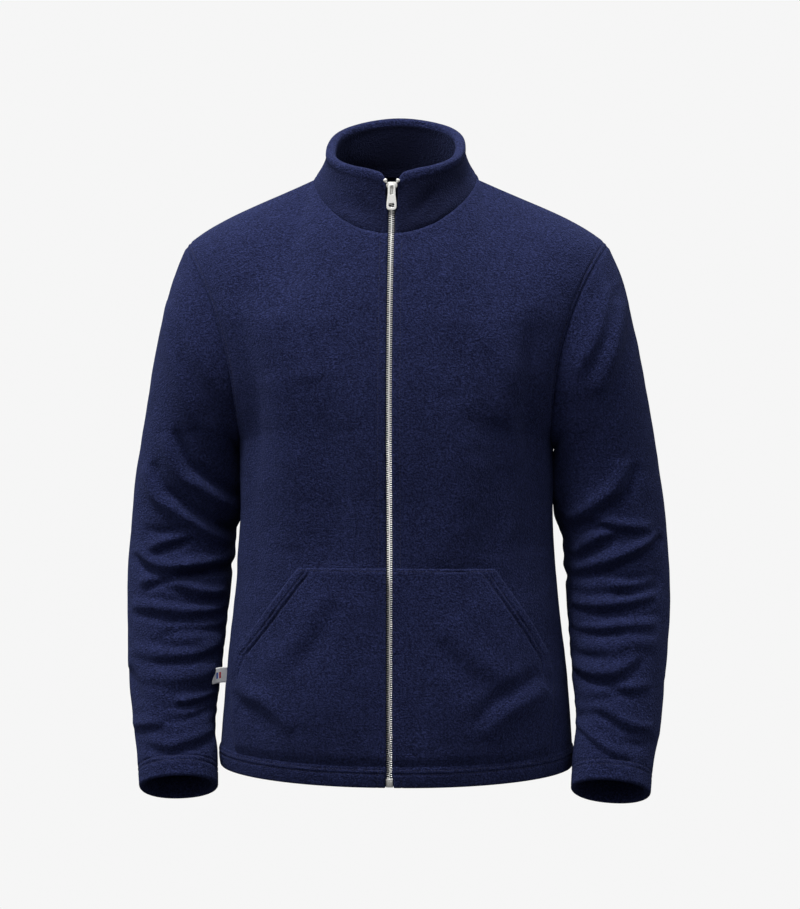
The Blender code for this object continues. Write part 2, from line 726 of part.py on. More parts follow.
def build_zip(fronts, collar, normals, hem):
    for side, hand in ((LEFT, "left"), (RIGHT, "right")):
        rows = zip_rows(fronts[side], collar, normals, hem)
        path = centre_path(rows)
        build_tape(f"zip_tape_{hand}", side, rows)
        build_chain(f"zip_chain_{hand}", side, path)
        stop = block(f"zip_stop_{hand}", STOP_SIZE, (side * STOP_X, 0.0019, 0.0))
        stop.matrix_world = placed(path, STOP_Z)
    build_slider(path)
    build_pull(path)
    box = block("zip_box", BOX_SIZE, (0.0, 0.0013, 0.0))
    box.matrix_world = placed(path, BOX_Z)


def build_label():
    """A folded tab in the wearer's right side seam."""
    length, thick, height = LABEL_SIZE
    label = block("side_label", LABEL_SIZE, (length / 2, 0.0, 0.0), colour="label")
    turn = Matrix.Rotation(math.radians(LABEL_HEADING), 4, "Z")
    label.matrix_world = Matrix.Translation(LABEL_FROM) @ turn


def main():
    for obj in list(bpy.data.objects):
        bpy.data.objects.remove(obj)
    build_zip(*build_cloth())
    build_label()


main()
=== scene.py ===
"""Fleece zip jacket: fleece panels, seams and stitching, metal zip and side label round the frame.

Metres, +Z up, the front towards -Y and the wearer's left at +X. Every cloth piece is a grid laid on
the same garment surface as the solid that it stands for. It is creased along listed folds, turned in at its
hems and given the thickness of the fleece.
"""

import math
from collections import namedtuple
from functools import lru_cache

import bmesh
import bpy
import numpy as np
from mathutils import Matrix, Vector, noise


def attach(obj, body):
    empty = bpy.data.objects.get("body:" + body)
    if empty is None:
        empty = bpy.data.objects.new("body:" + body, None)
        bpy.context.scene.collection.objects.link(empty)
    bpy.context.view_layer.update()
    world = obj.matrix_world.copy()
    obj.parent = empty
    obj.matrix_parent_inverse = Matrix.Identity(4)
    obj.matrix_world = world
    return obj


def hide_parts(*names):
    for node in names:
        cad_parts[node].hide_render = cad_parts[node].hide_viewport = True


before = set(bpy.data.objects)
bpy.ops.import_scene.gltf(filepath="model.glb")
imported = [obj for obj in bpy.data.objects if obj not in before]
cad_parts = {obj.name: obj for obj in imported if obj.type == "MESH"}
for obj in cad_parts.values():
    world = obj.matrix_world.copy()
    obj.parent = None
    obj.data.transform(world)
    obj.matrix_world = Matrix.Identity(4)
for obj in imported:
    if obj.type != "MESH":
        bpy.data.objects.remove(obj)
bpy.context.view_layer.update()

LEFT, RIGHT = 1, -1  # the wearer's left is +X
FRONT, BACK = -1, 1

# Cloth
FLEECE = 0.0022
HEM_RADIUS = 0.0026  # outside the fold of a turned-up edge
CUFF_RADIUS = 0.0034
COLLAR_WALL = 0.0096
RIM_FALL = 0.0042  # of the rim towards the zip
RIM_BEAD = 0.0011  # how far the rolled rim stands out on both faces
COLLAR_SQUARED = 0.0065  # how far its back corners stand out from the ring
COLLAR_LEAN, COLLAR_DIP = 0.0040, 0.0016  # forward at the rim, and back below it
COLLAR_DIP_PLACE = (0.028, 0.015)  # of its middle above the neck seam, and its reach
COLLAR_HEIGHT = 0.072  # of the outer face, along the cloth
COLLAR_ALLOWANCE = 0.0055  # of the inner collar, below the neck seam
CELL = 0.0038  # of the cloth grids, away from their edges
FINE_CELL = 0.0012
FINE_REACH = 0.026  # from a hem or a stitched edge
HEM_STITCHES = (0.0165, 0.0215)  # above the hem
HEM_TURN = 0.0245
HEM_BAND = 0.0020  # how far the doubled hem stands out
CUFF_STITCHES = (0.0185, 0.0240)
CUFF_TURN = 0.0270
ZIP_STITCH = 0.0090  # from the fleece's edge at the zip
ARMHOLE_STITCH = 0.0055
POCKET_STITCHES = (0.0098, 0.0148)  # from the pocket's open edge
SEAM_SWELL, SEAM_ROUND = 0.0016, 0.0024  # how proud the cloth stands beside a seam, and how soon
STITCH_LENGTH, STITCH_PITCH, STITCH_RADIUS = 0.0024, 0.0033, 0.00032

# Zip
FRONT_EDGE = 0.0036
CHAIN_DEPTH = 0.0019  # of the middle of the teeth, below the fleece's outer face
TOOTH_PITCH = 0.0025
TOOTH_SIZE = (0.0038, 0.0024, 0.00085)
TOOTH_HEAD = (0.0012, 0.0028, 0.00130)
TOOTH_X = 0.0013
BEAD_EDGES = (0.00012, 0.0040)  # from the middle of the zip
BOX_SIZE = (0.0080, 0.0042, 0.0105)
BOX_Z = -0.6826
SLIDER_Z = -0.0120
SLIDER_TOP, SLIDER_BOTTOM = 0.0060, -0.0085
SLIDER_HALF_WIDTH = 0.0036
EARS = (-0.0012, SLIDER_TOP - 0.0004, 0.0063, -0.0004)  # low, high, half-width, thicker than the body
PLATE_FACES = (-0.0016, 0.0003, 0.0036, 0.0048)
STOP_X, STOP_Z, STOP_RISE = 0.0070, -0.0040, 0.0026
HINGE_PROUD, HINGE_RISE = 0.0031, 0.0015
BAIL_RADII = (0.0015, 0.0025)
BAIL_WIDTH = 0.0022
PULL_WALL = 0.0013
PULL_LEAN = 3.2

LABEL_SIZE = (0.0205, 0.0010, 0.0180)
LABEL_FROM = (-0.1962, -0.0280, -0.5750)
LABEL_HEADING = 222

Section = namedtuple("Section", "name z_front z_side z_back half_width front back square armhole")
BODY = [
    Section("hem", -0.688, -0.681, -0.685, 0.2025, 0.127, 0.120, 2.40, 180),
    Section("hem_stitch", -0.661, -0.654, -0.657, 0.2038, 0.130, 0.123, 2.40, 180),
    Section("pocket_low", -0.577, -0.573, -0.574, 0.1972, 0.131, 0.120, 2.40, 180),
    Section("hip", -0.510, -0.508, -0.505, 0.1895, 0.129, 0.113, 2.35, 180),
    Section("pocket_top", -0.440, -0.444, -0.438, 0.1836, 0.128, 0.107, 2.30, 180),
    Section("ribs", -0.380, -0.388, -0.375, 0.1806, 0.131, 0.107, 2.30, 180),
    Section("underarm", -0.328, -0.338, -0.322, 0.1812, 0.136, 0.113, 2.30, 180),
    Section("armpit", -0.284, -0.300, -0.276, 0.1815, 0.138, 0.119, 2.30, 180),
    Section("chest", -0.232, -0.250, -0.222, 0.1850, 0.137, 0.124, 2.40, 122),
    Section("yoke", -0.166, -0.170, -0.150, 0.1950, 0.127, 0.119, 2.50, 76),
]
ARMPIT_ROW, YOKE_ROW, TOP_ROW = 7, 9, 10
NECK_SHARE = 0.46  # of a panel's columns, those that end on the neckline
ARMPIT = Vector((0.1815, 0.0, -0.300))
SHOULDER_TIP = Vector((0.2437, 0.004, -0.077))
ARMHOLE_HALF_DEPTH = {FRONT: 0.080, BACK: 0.086}
ARMHOLE_CURVE = 2.4

Ring = namedtuple("Ring", "half_width y_centre half_depth z_front z_side z_back")
NECK_BASE = Ring(0.0935, -0.015, 0.081, -0.064, 0.0, 0.014)
NECK_TOP = Ring(0.0785, -0.014, 0.071, 0.008, 0.040, 0.075)
CORNER_RADIUS = 0.011

SleeveRing = namedtuple("SleeveRing", "name outer inner half_depth lift")
SLEEVE = [
    SleeveRing("armhole", (0.2437, 0.004, -0.077), (0.1815, 0.000, -0.300), 0.083, 0.000),
    SleeveRing("cap", (0.2622, 0.006, -0.124), (0.1925, 0.004, -0.306), 0.084, 0.000),
    SleeveRing("upper", (0.2772, 0.010, -0.185), (0.1912, 0.013, -0.321), 0.082, 0.000),
    SleeveRing("biceps", (0.2897, 0.014, -0.248), (0.1878, 0.023, -0.341), 0.079, 0.000),
    SleeveRing("mid_arm", (0.3024, 0.020, -0.322), (0.1866, 0.028, -0.368), 0.075, 0.000),
    SleeveRing("above_elbow", (0.3125, 0.023, -0.395), (0.1915, 0.028, -0.410), 0.071, 0.004),
    SleeveRing("elbow", (0.3170, 0.019, -0.455), (0.1972, 0.020, -0.455), 0.066, 0.010),
    SleeveRing("forearm", (0.3160, 0.006, -0.515), (0.2008, 0.004, -0.508), 0.061, 0.016),
    SleeveRing("low_forearm", (0.3105, -0.013, -0.590), (0.2070, -0.016, -0.578), 0.053, 0.020),
    SleeveRing("wrist", (0.3035, -0.030, -0.640), (0.2110, -0.033, -0.632), 0.045, 0.020),
    SleeveRing("cuff_stitch", (0.2980, -0.040, -0.668), (0.2075, -0.042, -0.661), 0.041, 0.020),
    SleeveRing("cuff_edge", (0.2938, -0.054, -0.706), (0.2052, -0.056, -0.700), 0.037, 0.020),
]
SLEEVE_SQUARE = 2.15
CUFF_ROW = len(SLEEVE) - 1

PocketRow = namedtuple("PocketRow", "row right left")
POCKET = [
    PocketRow(1.0, 0.1790, 0.1780),
    PocketRow(2.0, 0.1800, 0.1782),
    PocketRow(2.5, 0.1712, 0.1712),
    PocketRow(3.0, 0.1492, 0.1555),
    PocketRow(4.0, 0.1030, 0.1165),
]
POCKET_OPEN_ROW = 2.1  # the side edge is open above it
UNDERARM_FULLNESS = 0.0076  # of the sleeve, where it hangs against the side
POCKET_HEM_ROW = 0.80  # its lower edge is caught by the hem's upper stitches
POCKET_PROUD = 0.0031
POCKET_BULGE = 0.0050

# Creases, in millimetres: how far a fold's middle is raised, its half-width, the share of that
# depth that sinks on its lower side, and the points (x, z) that it passes through.
Crease = namedtuple("Crease", "raised width under knots")
RIGHT_SLEEVE = [
    Crease(4.2, 12, 0.4, [(-228, -286), (-242, -236), (-255, -191), (-258, -140)]),
    Crease(3.6, 10, 0.4, [(-206, -236), (-228, -192), (-240, -158), (-246, -112)]),
    Crease(2.6, 9, 0.4, [(-188, -220), (-210, -184), (-225, -150), (-236, -106)]),
    Crease(-5.5, 8, 0.0, [(-200, -396), (-191, -418), (-187, -448)]),
    Crease(8.5, 9, 0.9, [(-186, -388), (-226, -354), (-246, -337), (-265, -293)]),
    Crease(7.5, 8, 1.0, [(-193, -422), (-214, -410), (-254, -380), (-275, -364), (-291, -330)]),
    Crease(-4.0, 6, 0.0, [(-291, -405), (-262, -408), (-233, -404)]),
    Crease(5.0, 6, 1.0, [(-286, -427), (-262, -416), (-236, -408)]),
    Crease(6.5, 7, 1.1, [(-299, -427), (-279, -442), (-262, -445), (-214, -441), (-187, -438)]),
    Crease(5.0, 6, 1.0, [(-296, -468), (-271, -457), (-246, -449), (-215, -444)]),
    Crease(-6.0, 5, 0.0, [(-252, -455), (-220, -456), (-186, -452)]),
    Crease(4.5, 6, 1.0, [(-262, -461), (-230, -474), (-200, -479)]),
    Crease(-4.0, 5, 0.0, [(-296, -480), (-257, -486), (-226, -490), (-200, -489)]),
    Crease(-5.0, 6, 0.0, [(-300, -503), (-260, -508), (-223, -507), (-196, -505)]),
    Crease(3.5, 6, 0.6, [(-308, -494), (-280, -493), (-240, -497), (-205, -497)]),
    Crease(-4.0, 5, 0.0, [(-272, -526), (-234, -520), (-196, -524)]),
    Crease(-3.6, 5, 0.0, [(-288, -531), (-249, -538), (-222, -539)]),
    Crease(3.2, 7, 0.6, [(-306, -543), (-270, -547), (-235, -546), (-203, -538)]),
    Crease(-3.6, 5, 0.0, [(-276, -556), (-234, -554), (-201, -548)]),
    Crease(2.8, 7, 0.5, [(-296, -572), (-262, -574), (-228, -571), (-202, -565)]),
    Crease(-3.8, 6, 0.0, [(-262, -593), (-226, -590), (-202, -585)]),
    Crease(4.0, 5, 0.8, [(-252, -599), (-233, -598), (-209, -593)]),
    Crease(-3.4, 5, 0.0, [(-262, -606), (-234, -604), (-207, -597)]),
    Crease(-3.8, 5, 0.0, [(-262, -622), (-234, -620), (-209, -608)]),
    Crease(3.4, 6, 0.8, [(-304, -631), (-284, -626), (-262, -622)]),
    Crease(3.8, 6, 0.7, [(-280, -646), (-259, -650), (-239, -645), (-210, -634)]),
    Crease(-3.2, 6, 0.0, [(-284, -652), (-249, -658), (-210, -648)]),
    Crease(-3.6, 6, 0.0, [(-308, -566), (-300, -584), (-291, -605)]),
]
LEFT_SLEEVE = [
    Crease(5.0, 10, 0.5, [(232, -245), (243, -215), (252, -180), (257, -140)]),
    Crease(4.0, 8, 0.5, [(206, -222), (225, -190), (236, -155), (242, -120)]),
    Crease(7.5, 9, 0.8, [(200, -390), (216, -383), (236, -367), (254, -350), (263, -322)]),
    Crease(5.0, 6, 1.0, [(222, -387), (251, -392), (270, -398), (297, -399)]),
    Crease(6.0, 7, 0.9, [(205, -432), (220, -420), (240, -407), (260, -398)]),
    Crease(7.5, 7, 1.1, [(202, -450), (240, -439), (272, -426), (290, -415), (298, -405)]),
    Crease(-4.2, 6, 0.0, [(234, -449), (259, -455), (281, -458), (308, -454)]),
    Crease(4.6, 6, 0.9, [(250, -468), (280, -465), (300, -458)]),
    Crease(-5.0, 5, 0.0, [(203, -474), (225, -477), (264, -472), (287, -466), (308, -460)]),
    Crease(4.0, 6, 0.9, [(204, -486), (236, -488), (268, -484), (298, -476)]),
    Crease(-4.2, 5, 0.0, [(206, -496), (236, -496), (262, -493), (298, -486)]),
    Crease(-4.2, 5, 0.0, [(208, -508), (244, -504), (267, -501), (306, -499)]),
    Crease(3.6, 6, 0.6, [(205, -515), (236, -513), (270, -509), (300, -510)]),
    Crease(-3.6, 5, 0.0, [(203, -518), (236, -521), (266, -518)]),
    Crease(2.8, 8, 0.4, [(212, -534), (244, -536), (280, -530), (304, -534)]),
    Crease(-3.2, 5, 0.0, [(203, -544), (225, -547), (246, -544)]),
    Crease(5.0, 7, 0.8, [(206, -556), (227, -563), (249, -563), (263, -557), (280, -541)]),
    Crease(4.0, 6, 0.7, [(252, -572), (270, -580), (292, -577)]),
    Crease(-3.4, 6, 0.0, [(210, -574), (244, -577), (268, -573)]),
    Crease(-3.6, 6, 0.0, [(210, -598), (242, -594), (268, -585)]),
    Crease(4.2, 6, 0.8, [(232, -598), (250, -608), (264, -617), (278, -623), (298, -628)]),
    Crease(-3.2, 5, 0.0, [(208, -618), (226, -612), (246, -616)]),
    Crease(4.0, 5, 0.8, [(212, -622), (234, -639), (252, -651), (270, -655)]),
    Crease(-3.4, 5, 0.0, [(262, -640), (280, -645), (298, -642)]),
]
BODY_FRONT = [
    Crease(-4.2, 14, 0.0, [(-172, -112), (-170, -164), (-162, -201), (-157, -240), (-156, -290),
                           (-163, -371), (-159, -419), (-152, -467)]),
    Crease(3.2, 18, 0.0, [(-132, -150), (-126, -230), (-118, -320), (-114, -420)]),
    Crease(-3.4, 13, 0.0, [(160, -150), (158, -215), (154, -280), (160, -350), (158, -430)]),
    Crease(2.4, 16, 0.0, [(134, -170), (130, -250), (136, -330)]),
    Crease(1.6, 14, 0.2, [(100, -178), (128, -205), (152, -246)]),
    Crease(1.6, 18, 0.3, [(-110, -170), (-90, -230), (-60, -290)]),
    Crease(-4.6, 24, 0.0, [(-80, -225), (-70, -290), (-64, -360), (-62, -440)]),
    Crease(3.0, 24, 0.0, [(66, -250), (76, -320), (74, -390), (64, -440)]),
    Crease(-2.6, 18, 0.0, [(116, -270), (118, -340), (112, -430)]),
]
BODY_POCKETS = [
    Crease(4.0, 10, 0.6, [(-172, -577), (-158, -585), (-138, -594), (-121, -608), (-108, -626)]),
    Crease(-2.6, 9, 0.0, [(-171, -603), (-154, -614), (-138, -634)]),
    Crease(-3.4, 14, 0.0, [(-58, -478), (-66, -496), (-83, -527), (-105, -558)]),
    Crease(3.2, 14, 0.0, [(-70, -470), (-88, -506), (-112, -536), (-140, -556)]),
    Crease(2.6, 13, 0.4, [(62, -498), (84, -530), (116, -556), (146, -570)]),
    Crease(4.2, 12, 0.9, [(171, -580), (150, -590), (126, -606), (106, -630)]),
    Crease(-2.4, 12, 0.0, [(58, -520), (70, -552), (92, -584)]),
]
COLLAR_FRONT = [
    Crease(-2.0, 6, 0.5, [(18, -46), (34, -32), (50, -12)]),
    Crease(1.6, 6, 0.5, [(28, -58), (50, -46), (68, -24)]),
    Crease(-1.6, 6, 0.4, [(-20, -44), (-36, -34), (-58, -22)]),
    Crease(1.4, 6, 0.4, [(-30, -60), (-46, -46), (-70, -36)]),
    Crease(-1.3, 5, 0.0, [(14, -66), (30, -62), (46, -52)]),
]
BODY_BACK = [
    Crease(-3.6, 15, 0.0, [(-150, -150), (-146, -220), (-152, -300), (-146, -380)]),
    Crease(-3.2, 14, 0.0, [(152, -140), (149, -210), (153, -300), (150, -360)]),
    Crease(3.0, 18, 0.4, [(-118, -200), (-92, -260), (-76, -330)]),
    Crease(2.6, 17, 0.4, [(120, -190), (96, -262), (84, -322)]),
    Crease(3.2, 16, 0.5, [(-120, -398), (-60, -412), (-8, -404)]),
    Crease(2.8, 15, 0.5, [(22, -430), (76, -420), (128, -392)]),
    Crease(-2.4, 16, 0.0, [(-40, -450), (-52, -520), (-44, -600)]),
    Crease(2.2, 18, 0.0, [(30, -470), (44, -540), (40, -620)]),
    Crease(-2.4, 16, 0.0, [(104, -460), (112, -530), (106, -610)]),
    Crease(2.0, 16, 0.0, [(-120, -480), (-128, -550), (-122, -620)]),
]


# ---------------------------------------------------------------- the garment's surface


def spline(values, at):
    """Catmull-Rom value through evenly numbered values."""
    i = min(int(at), len(values) - 2)
    f = at - i
    before, a, b, after = (values[min(max(i + k, 0), len(values) - 1)] for k in (-1, 0, 1, 2))
    return a + 0.5 * f * (
        b - before + f * (2 * before - 5 * a + 4 * b - after + f * (3 * (a - b) + after - before))
    )


def smooth_step(x, low, high):
    f = min(max((x - low) / (high - low), 0.0), 1.0)
    return f * f * (3 - 2 * f)


def power(value, exponent):
    """A power that keeps the sign."""
    return math.copysign(abs(value) ** exponent, value)


@lru_cache(maxsize=None)
def body_value(column, row):
    return spline([getattr(section, column) for section in BODY], min(row, YOKE_ROW))


def armhole_angle(row):
    """180 degrees at the armpit, 0 at the shoulder tip."""
    if row <= ARMPIT_ROW:
        return 180.0
    marks = [section.armhole for section in BODY[ARMPIT_ROW:]] + [0.0]
    i = min(int(row - ARMPIT_ROW), len(marks) - 2)
    return marks[i] + (marks[i + 1] - marks[i]) * (row - ARMPIT_ROW - i)


@lru_cache(maxsize=None)
def armhole_point(angle, face):
    """A point of the armhole seam on the +X side."""
    turn = math.radians(angle)
    up = (1 + math.cos(turn)) / 2
    return Vector(
        (
            ARMPIT.x + (SHOULDER_TIP.x - ARMPIT.x) * up**ARMHOLE_CURVE,
            SHOULDER_TIP.y * up + face * ARMHOLE_HALF_DEPTH[face] * power(math.sin(turn), 0.9),
            ARMPIT.z + (SHOULDER_TIP.z - ARMPIT.z) * up,
        )
    )


def ring_point(ring, turn):
    """A point of a neck ring: turn is 0 at the centre front, 90 at the +X side and 180 at the back."""
    a = math.radians(turn)
    slope = (ring.z_front - ring.z_back) / 2
    sag = ((ring.z_front + ring.z_back) / 2 - ring.z_side) / 2
    return Vector(
        (
            ring.half_width * math.sin(a),
            ring.y_centre - ring.half_depth * math.cos(a),
            ring.z_side + sag + slope * math.cos(a) + sag * math.cos(2 * a),
        )
    )


def shoulder_point(share):
    """A point of the shoulder seam, from the neck to the shoulder tip; it drops faster near the tip."""
    neck = ring_point(NECK_BASE, 90)
    point = neck.lerp(SHOULDER_TIP, share)
    point.z = neck.z + (SHOULDER_TIP.z - neck.z) * (0.86 * share + 0.14 * share**6)
    return point


@lru_cache(maxsize=None)
def top_point(column, face):
    """The top edge of a panel: the neckline, then the shoulder seam."""
    if column <= NECK_SHARE:
        quarter = 90 * column / NECK_SHARE
        return ring_point(NECK_BASE, quarter if face == FRONT else 180 - quarter)
    return shoulder_point((column - NECK_SHARE) / (1 - NECK_SHARE))


@lru_cache(maxsize=None)
def section_shape(row, face):
    """A body section's squareness, depth, centre height, edge point and the turn that ends there."""
    square = body_value("square", row)
    depth = body_value("front" if face == FRONT else "back", row)
    z_centre = body_value("z_front" if face == FRONT else "z_back", row)
    if row <= ARMPIT_ROW:
        edge = Vector((body_value("half_width", row), 0.0, body_value("z_side", row)))
    else:
        edge = armhole_point(armhole_angle(row), face)
    end = math.acos(min(abs(edge.y) / depth, 1.0) ** (square / 2))
    return square, depth, z_centre, edge, end


@lru_cache(maxsize=None)
def section_point(column, row, face):
    """A point of a panel up to the yoke, on a rounded section that ends at the side seam or armhole."""
    square, depth, z_centre, edge, end = section_shape(row, face)
    turn = column * end
    x = edge.x * (math.sin(turn) / math.sin(end)) ** (2 / square)
    return Vector(
        (
            x,
            face * depth * max(math.cos(turn), 0.0) ** (2 / square),
            z_centre + (edge.z - z_centre) * (x / edge.x) ** 2,
        )
    )


def yoke_point(column, row, face):
    """A point above the yoke row, on a curve that rises and rolls over to the neckline or shoulder."""
    rise = row - YOKE_ROW
    low, top = section_point(column, YOKE_ROW, face), top_point(column, face)
    straight = low.lerp(top, rise)
    quarter = rise * math.pi / 2
    rolled = low.lerp(top, 1 - math.cos(quarter))
    rolled.z = low.z + (top.z - low.z) * math.sin(quarter)
    return straight.lerp(rolled, 0.30 + 0.60 * smooth_step(column, 0.4, 0.9))


@lru_cache(maxsize=None)
def yoke_shift(row, face):
    return armhole_point(armhole_angle(row), face) - yoke_point(1.0, row, face)


def panel_point(column, row, face):
    """A point of a front or back panel on the +X side."""
    if row <= YOKE_ROW:
        return section_point(column, row, face).copy()
    return yoke_point(column, row, face) + yoke_shift(row, face) * column**3


def front_edge(z):
    """The fleece's distance from the centre line: wider at the zip's box and round its slider."""
    box = 0.0012 * (1 - smooth_step(z, BOX_Z + 0.004, BOX_Z + 0.014))
    slider = 0.0034 * smooth_step(z, SLIDER_Z - 0.030, SLIDER_Z - 0.006)
    return FRONT_EDGE + box + slider


def edge_shift(share, z):
    """How far a point moves off the centre line, by its share of the way to the neck's side."""
    return front_edge(z) * max(1 - share, 0.0) ** 3


def front_point(column, row):
    point = panel_point(column, row, FRONT)
    point.x += edge_shift(column / NECK_SHARE, point.z)
    return point


@lru_cache(maxsize=None)
def sleeve_frame(row):
    """Centre, outward half-axis and forward half-axis of a sleeve's ring."""
    outer = Vector([spline([ring.outer[k] for ring in SLEEVE], row) for k in range(3)])
    inner = Vector([spline([ring.inner[k] for ring in SLEEVE], row) for k in range(3)])
    half_depth = spline([ring.half_depth for ring in SLEEVE], row)
    lift = spline([ring.lift for ring in SLEEVE], row)
    return (outer + inner) / 2, (outer - inner) / 2, Vector((0.0, -half_depth, lift))


def oval_point(row, angle):
    centre, out, forward = sleeve_frame(row)
    turn = math.radians(angle)
    share = 2 / SLEEVE_SQUARE
    return centre + out * power(math.cos(turn), share) + forward * power(math.sin(turn), share)


@lru_cache(maxsize=None)
def armhole_fit(angle):
    """From the sleeve's own first ring to the armhole seam."""
    face = FRONT if angle <= 180 else BACK
    return armhole_point(angle if face == FRONT else 360 - angle, face) - oval_point(0.0, angle)


def sleeve_point(row, angle):
    """A point of a sleeve on the +X side; its first rings follow the armhole seam."""
    angle %= 360
    return oval_point(row, angle) + armhole_fit(angle) * max(1 - row / 3, 0.0) ** 2


def neckline_point(turn):
    point = ring_point(NECK_BASE, turn)
    point.x += edge_shift(turn / 90, point.z)
    return point


def corner_drop(from_edge):
    """How much lower the collar's top is, by the distance from its front edge."""
    short = max(CORNER_RADIUS - from_edge, 0.0)
    return CORNER_RADIUS - math.sqrt(CORNER_RADIUS**2 - min(short, CORNER_RADIUS) ** 2)


def collar_point(turn, rise):
    """A point of the collar's outer face: rise is 0 on the neckline and 1 where the top rounds over."""
    base, top = neckline_point(turn), ring_point(NECK_TOP, turn)
    top.z -= COLLAR_WALL / 2 + (corner_drop(top.x) if turn < 90 else 0.0)
    lean = (1 - rise) ** 1.8
    point = Vector((0.0, top.y + (base.y - top.y) * lean, base.z + (top.z - base.z) * rise))
    shift = edge_shift(turn / 90, point.z)
    base_x = base.x - edge_shift(turn / 90, base.z)
    point.x = top.x + (base_x - top.x) * lean + shift
    return point


def pocket_reach(row, side):
    for low, high in zip(POCKET, POCKET[1:]):
        if row <= high.row:
            share = (row - low.row) / (high.row - low.row)
            ends = [mark.left if side == LEFT else mark.right for mark in (low, high)]
            return ends[0] + (ends[1] - ends[0]) * share
    return POCKET[-1].left


def pocket_point(share, row, side):
    """A point of the front under the pocket, by its share of the pocket's reach."""
    edge = (pocket_reach(row, side) / body_value("half_width", row)) ** (body_value("square", row) / 2)
    return front_point(share * math.asin(edge) / (math.pi / 2), row)


# ---------------------------------------------------------------- cloth grids


def run_along(points):
    """Length from the first point to each, along the first axis."""
    steps = np.linalg.norm(np.diff(points, axis=0), axis=-1)
    return np.concatenate([np.zeros_like(steps[:1]), np.cumsum(steps, axis=0)])


def even_places(curve, start, end, fine=(True, True), cell=CELL, reach=FINE_REACH):
    """Places from start to end about a cell apart along a curve, closer near the ends marked fine."""
    tries = np.linspace(start, end, 241)
    run = run_along(np.array([curve(place) for place in tries]))
    length, marks = run[-1], [0.0]
    while marks[-1] < length:
        near = (fine[0] and marks[-1] < reach) or (fine[1] and length - marks[-1] < reach)
        marks.append(marks[-1] + (FINE_CELL if near else cell))
    marks = np.array(marks) * length / marks[-1]
    return np.interp(marks, run, tries)


def interpolated(run, values, at):
    """Values (n, 3) at a run, or at several runs."""
    return np.stack([np.interp(at, run, values[:, k]) for k in range(3)], axis=-1)


class Cloth:
    """A grid of points on the garment's surface, with the way out at each of them."""

    def __init__(self, rows, columns, place, side=1):
        mirror = np.array([side, 1, 1])
        self.points = np.array([[place(c, r) for c in columns] for r in rows]) * mirror
        self.aim()
        if (self.out * (self.points - self.points.mean(axis=(0, 1)))).sum() < 0:
            self.out = -self.out

    def aim(self):
        out = np.cross(np.gradient(self.points, axis=1), np.gradient(self.points, axis=0))
        self.out = out / np.maximum(np.linalg.norm(out, axis=-1, keepdims=True), 1e-12)

    def strips(self, edge):
        """The grid's lines of points and ways out that leave an edge, first point on the edge."""
        points, out = self.points, self.out
        if edge.endswith("row"):
            points, out = points.transpose(1, 0, 2), out.transpose(1, 0, 2)
        step = -1 if edge.startswith("last") else 1
        return points[:, ::step], out[:, ::step]

    def distance(self, edge):
        """How far each point is from an edge, along the cloth."""
        away = run_along(self.strips(edge)[0].transpose(1, 0, 2)).T
        if edge.startswith("last"):
            away = away[:, ::-1]
        return away.T if edge.endswith("row") else away

    def raise_by(self, height):
        self.points = self.points + self.out * height[..., None]

    def line(self, edge, distance, start=0.0, end=1.0, away=None):
        """Points and ways out at a distance from an edge, from start to end of its length."""
        found = []
        for i, (points, out) in enumerate(zip(*self.strips(edge))):
            run = run_along(points) if away is None else away[i, ::-1]
            found.append((interpolated(run, points, distance), interpolated(run, out, distance)))
        points, out = (np.array(part) for part in zip(*found))
        run = run_along(points)
        kept = (run >= start * run[-1]) & (run <= end * run[-1])
        return points[kept], out[kept]

    def turned_up(self, width, radius=HEM_RADIUS, step=0.0035):
        """The grid with its first row folded under: the inner layer, the fold, then the outside."""
        inner = np.arange(width, radius, -step)
        bends = np.radians(np.linspace(0, 180, 8))[1:-1]
        own = run_along(self.points).mean(axis=1)
        outer = own[own > radius * 1.05]
        along = np.concatenate([inner, radius - radius * np.sin(bends), [radius], outer])
        depth = np.concatenate(
            [np.full(len(inner), 2 * radius), radius + radius * np.cos(bends), [0.0], 0 * outer]
        )
        points = np.stack([interpolated(own, line, along) for line in self.points.transpose(1, 0, 2)], 1)
        out = np.stack([interpolated(own, line, along) for line in self.out.transpose(1, 0, 2)], 1)
        self.points, self.out = points - out * depth[:, None, None], out


def smooth_between(x, low, high):
    f = np.clip((x - low) / (high - low), 0, 1)
    return f * f * (3 - 2 * f)


def groove(distance, at, sink, half_width=0.0011):
    return -sink * np.exp(-(((distance - at) / half_width) ** 2))


def swell(*seams):
    """How the cloth stands proud of the seam lines at its edges, which stay where they are."""
    shares = [1 - np.exp(-((distance / SEAM_ROUND) ** 2)) for distance in seams]
    return SEAM_SWELL * np.prod(shares, axis=0)


def puckers(points, scale=95.0, seed=0.0):
    """Uneven numbers about 1 along a seam, where the stitches pull the fleece."""
    shape = points.shape[:-1]
    found = [noise.noise(Vector(p) * scale + Vector((seed, 0, 0))) for p in points.reshape(-1, 3)]
    return 1 + 0.7 * np.array(found).reshape(shape)


def unevenness(points, seed=0.0):
    """The slow, small waves of soft cloth."""
    flat = points.reshape(-1, 3)
    offset = Vector((seed, 2 * seed, -seed))
    slow = [noise.noise(Vector(p) * 13 + offset) for p in flat]
    quick = [noise.noise(Vector(p) * 42 - offset) for p in flat]
    return (0.0016 * np.array(slow) + 0.0005 * np.array(quick)).reshape(points.shape[:-1])


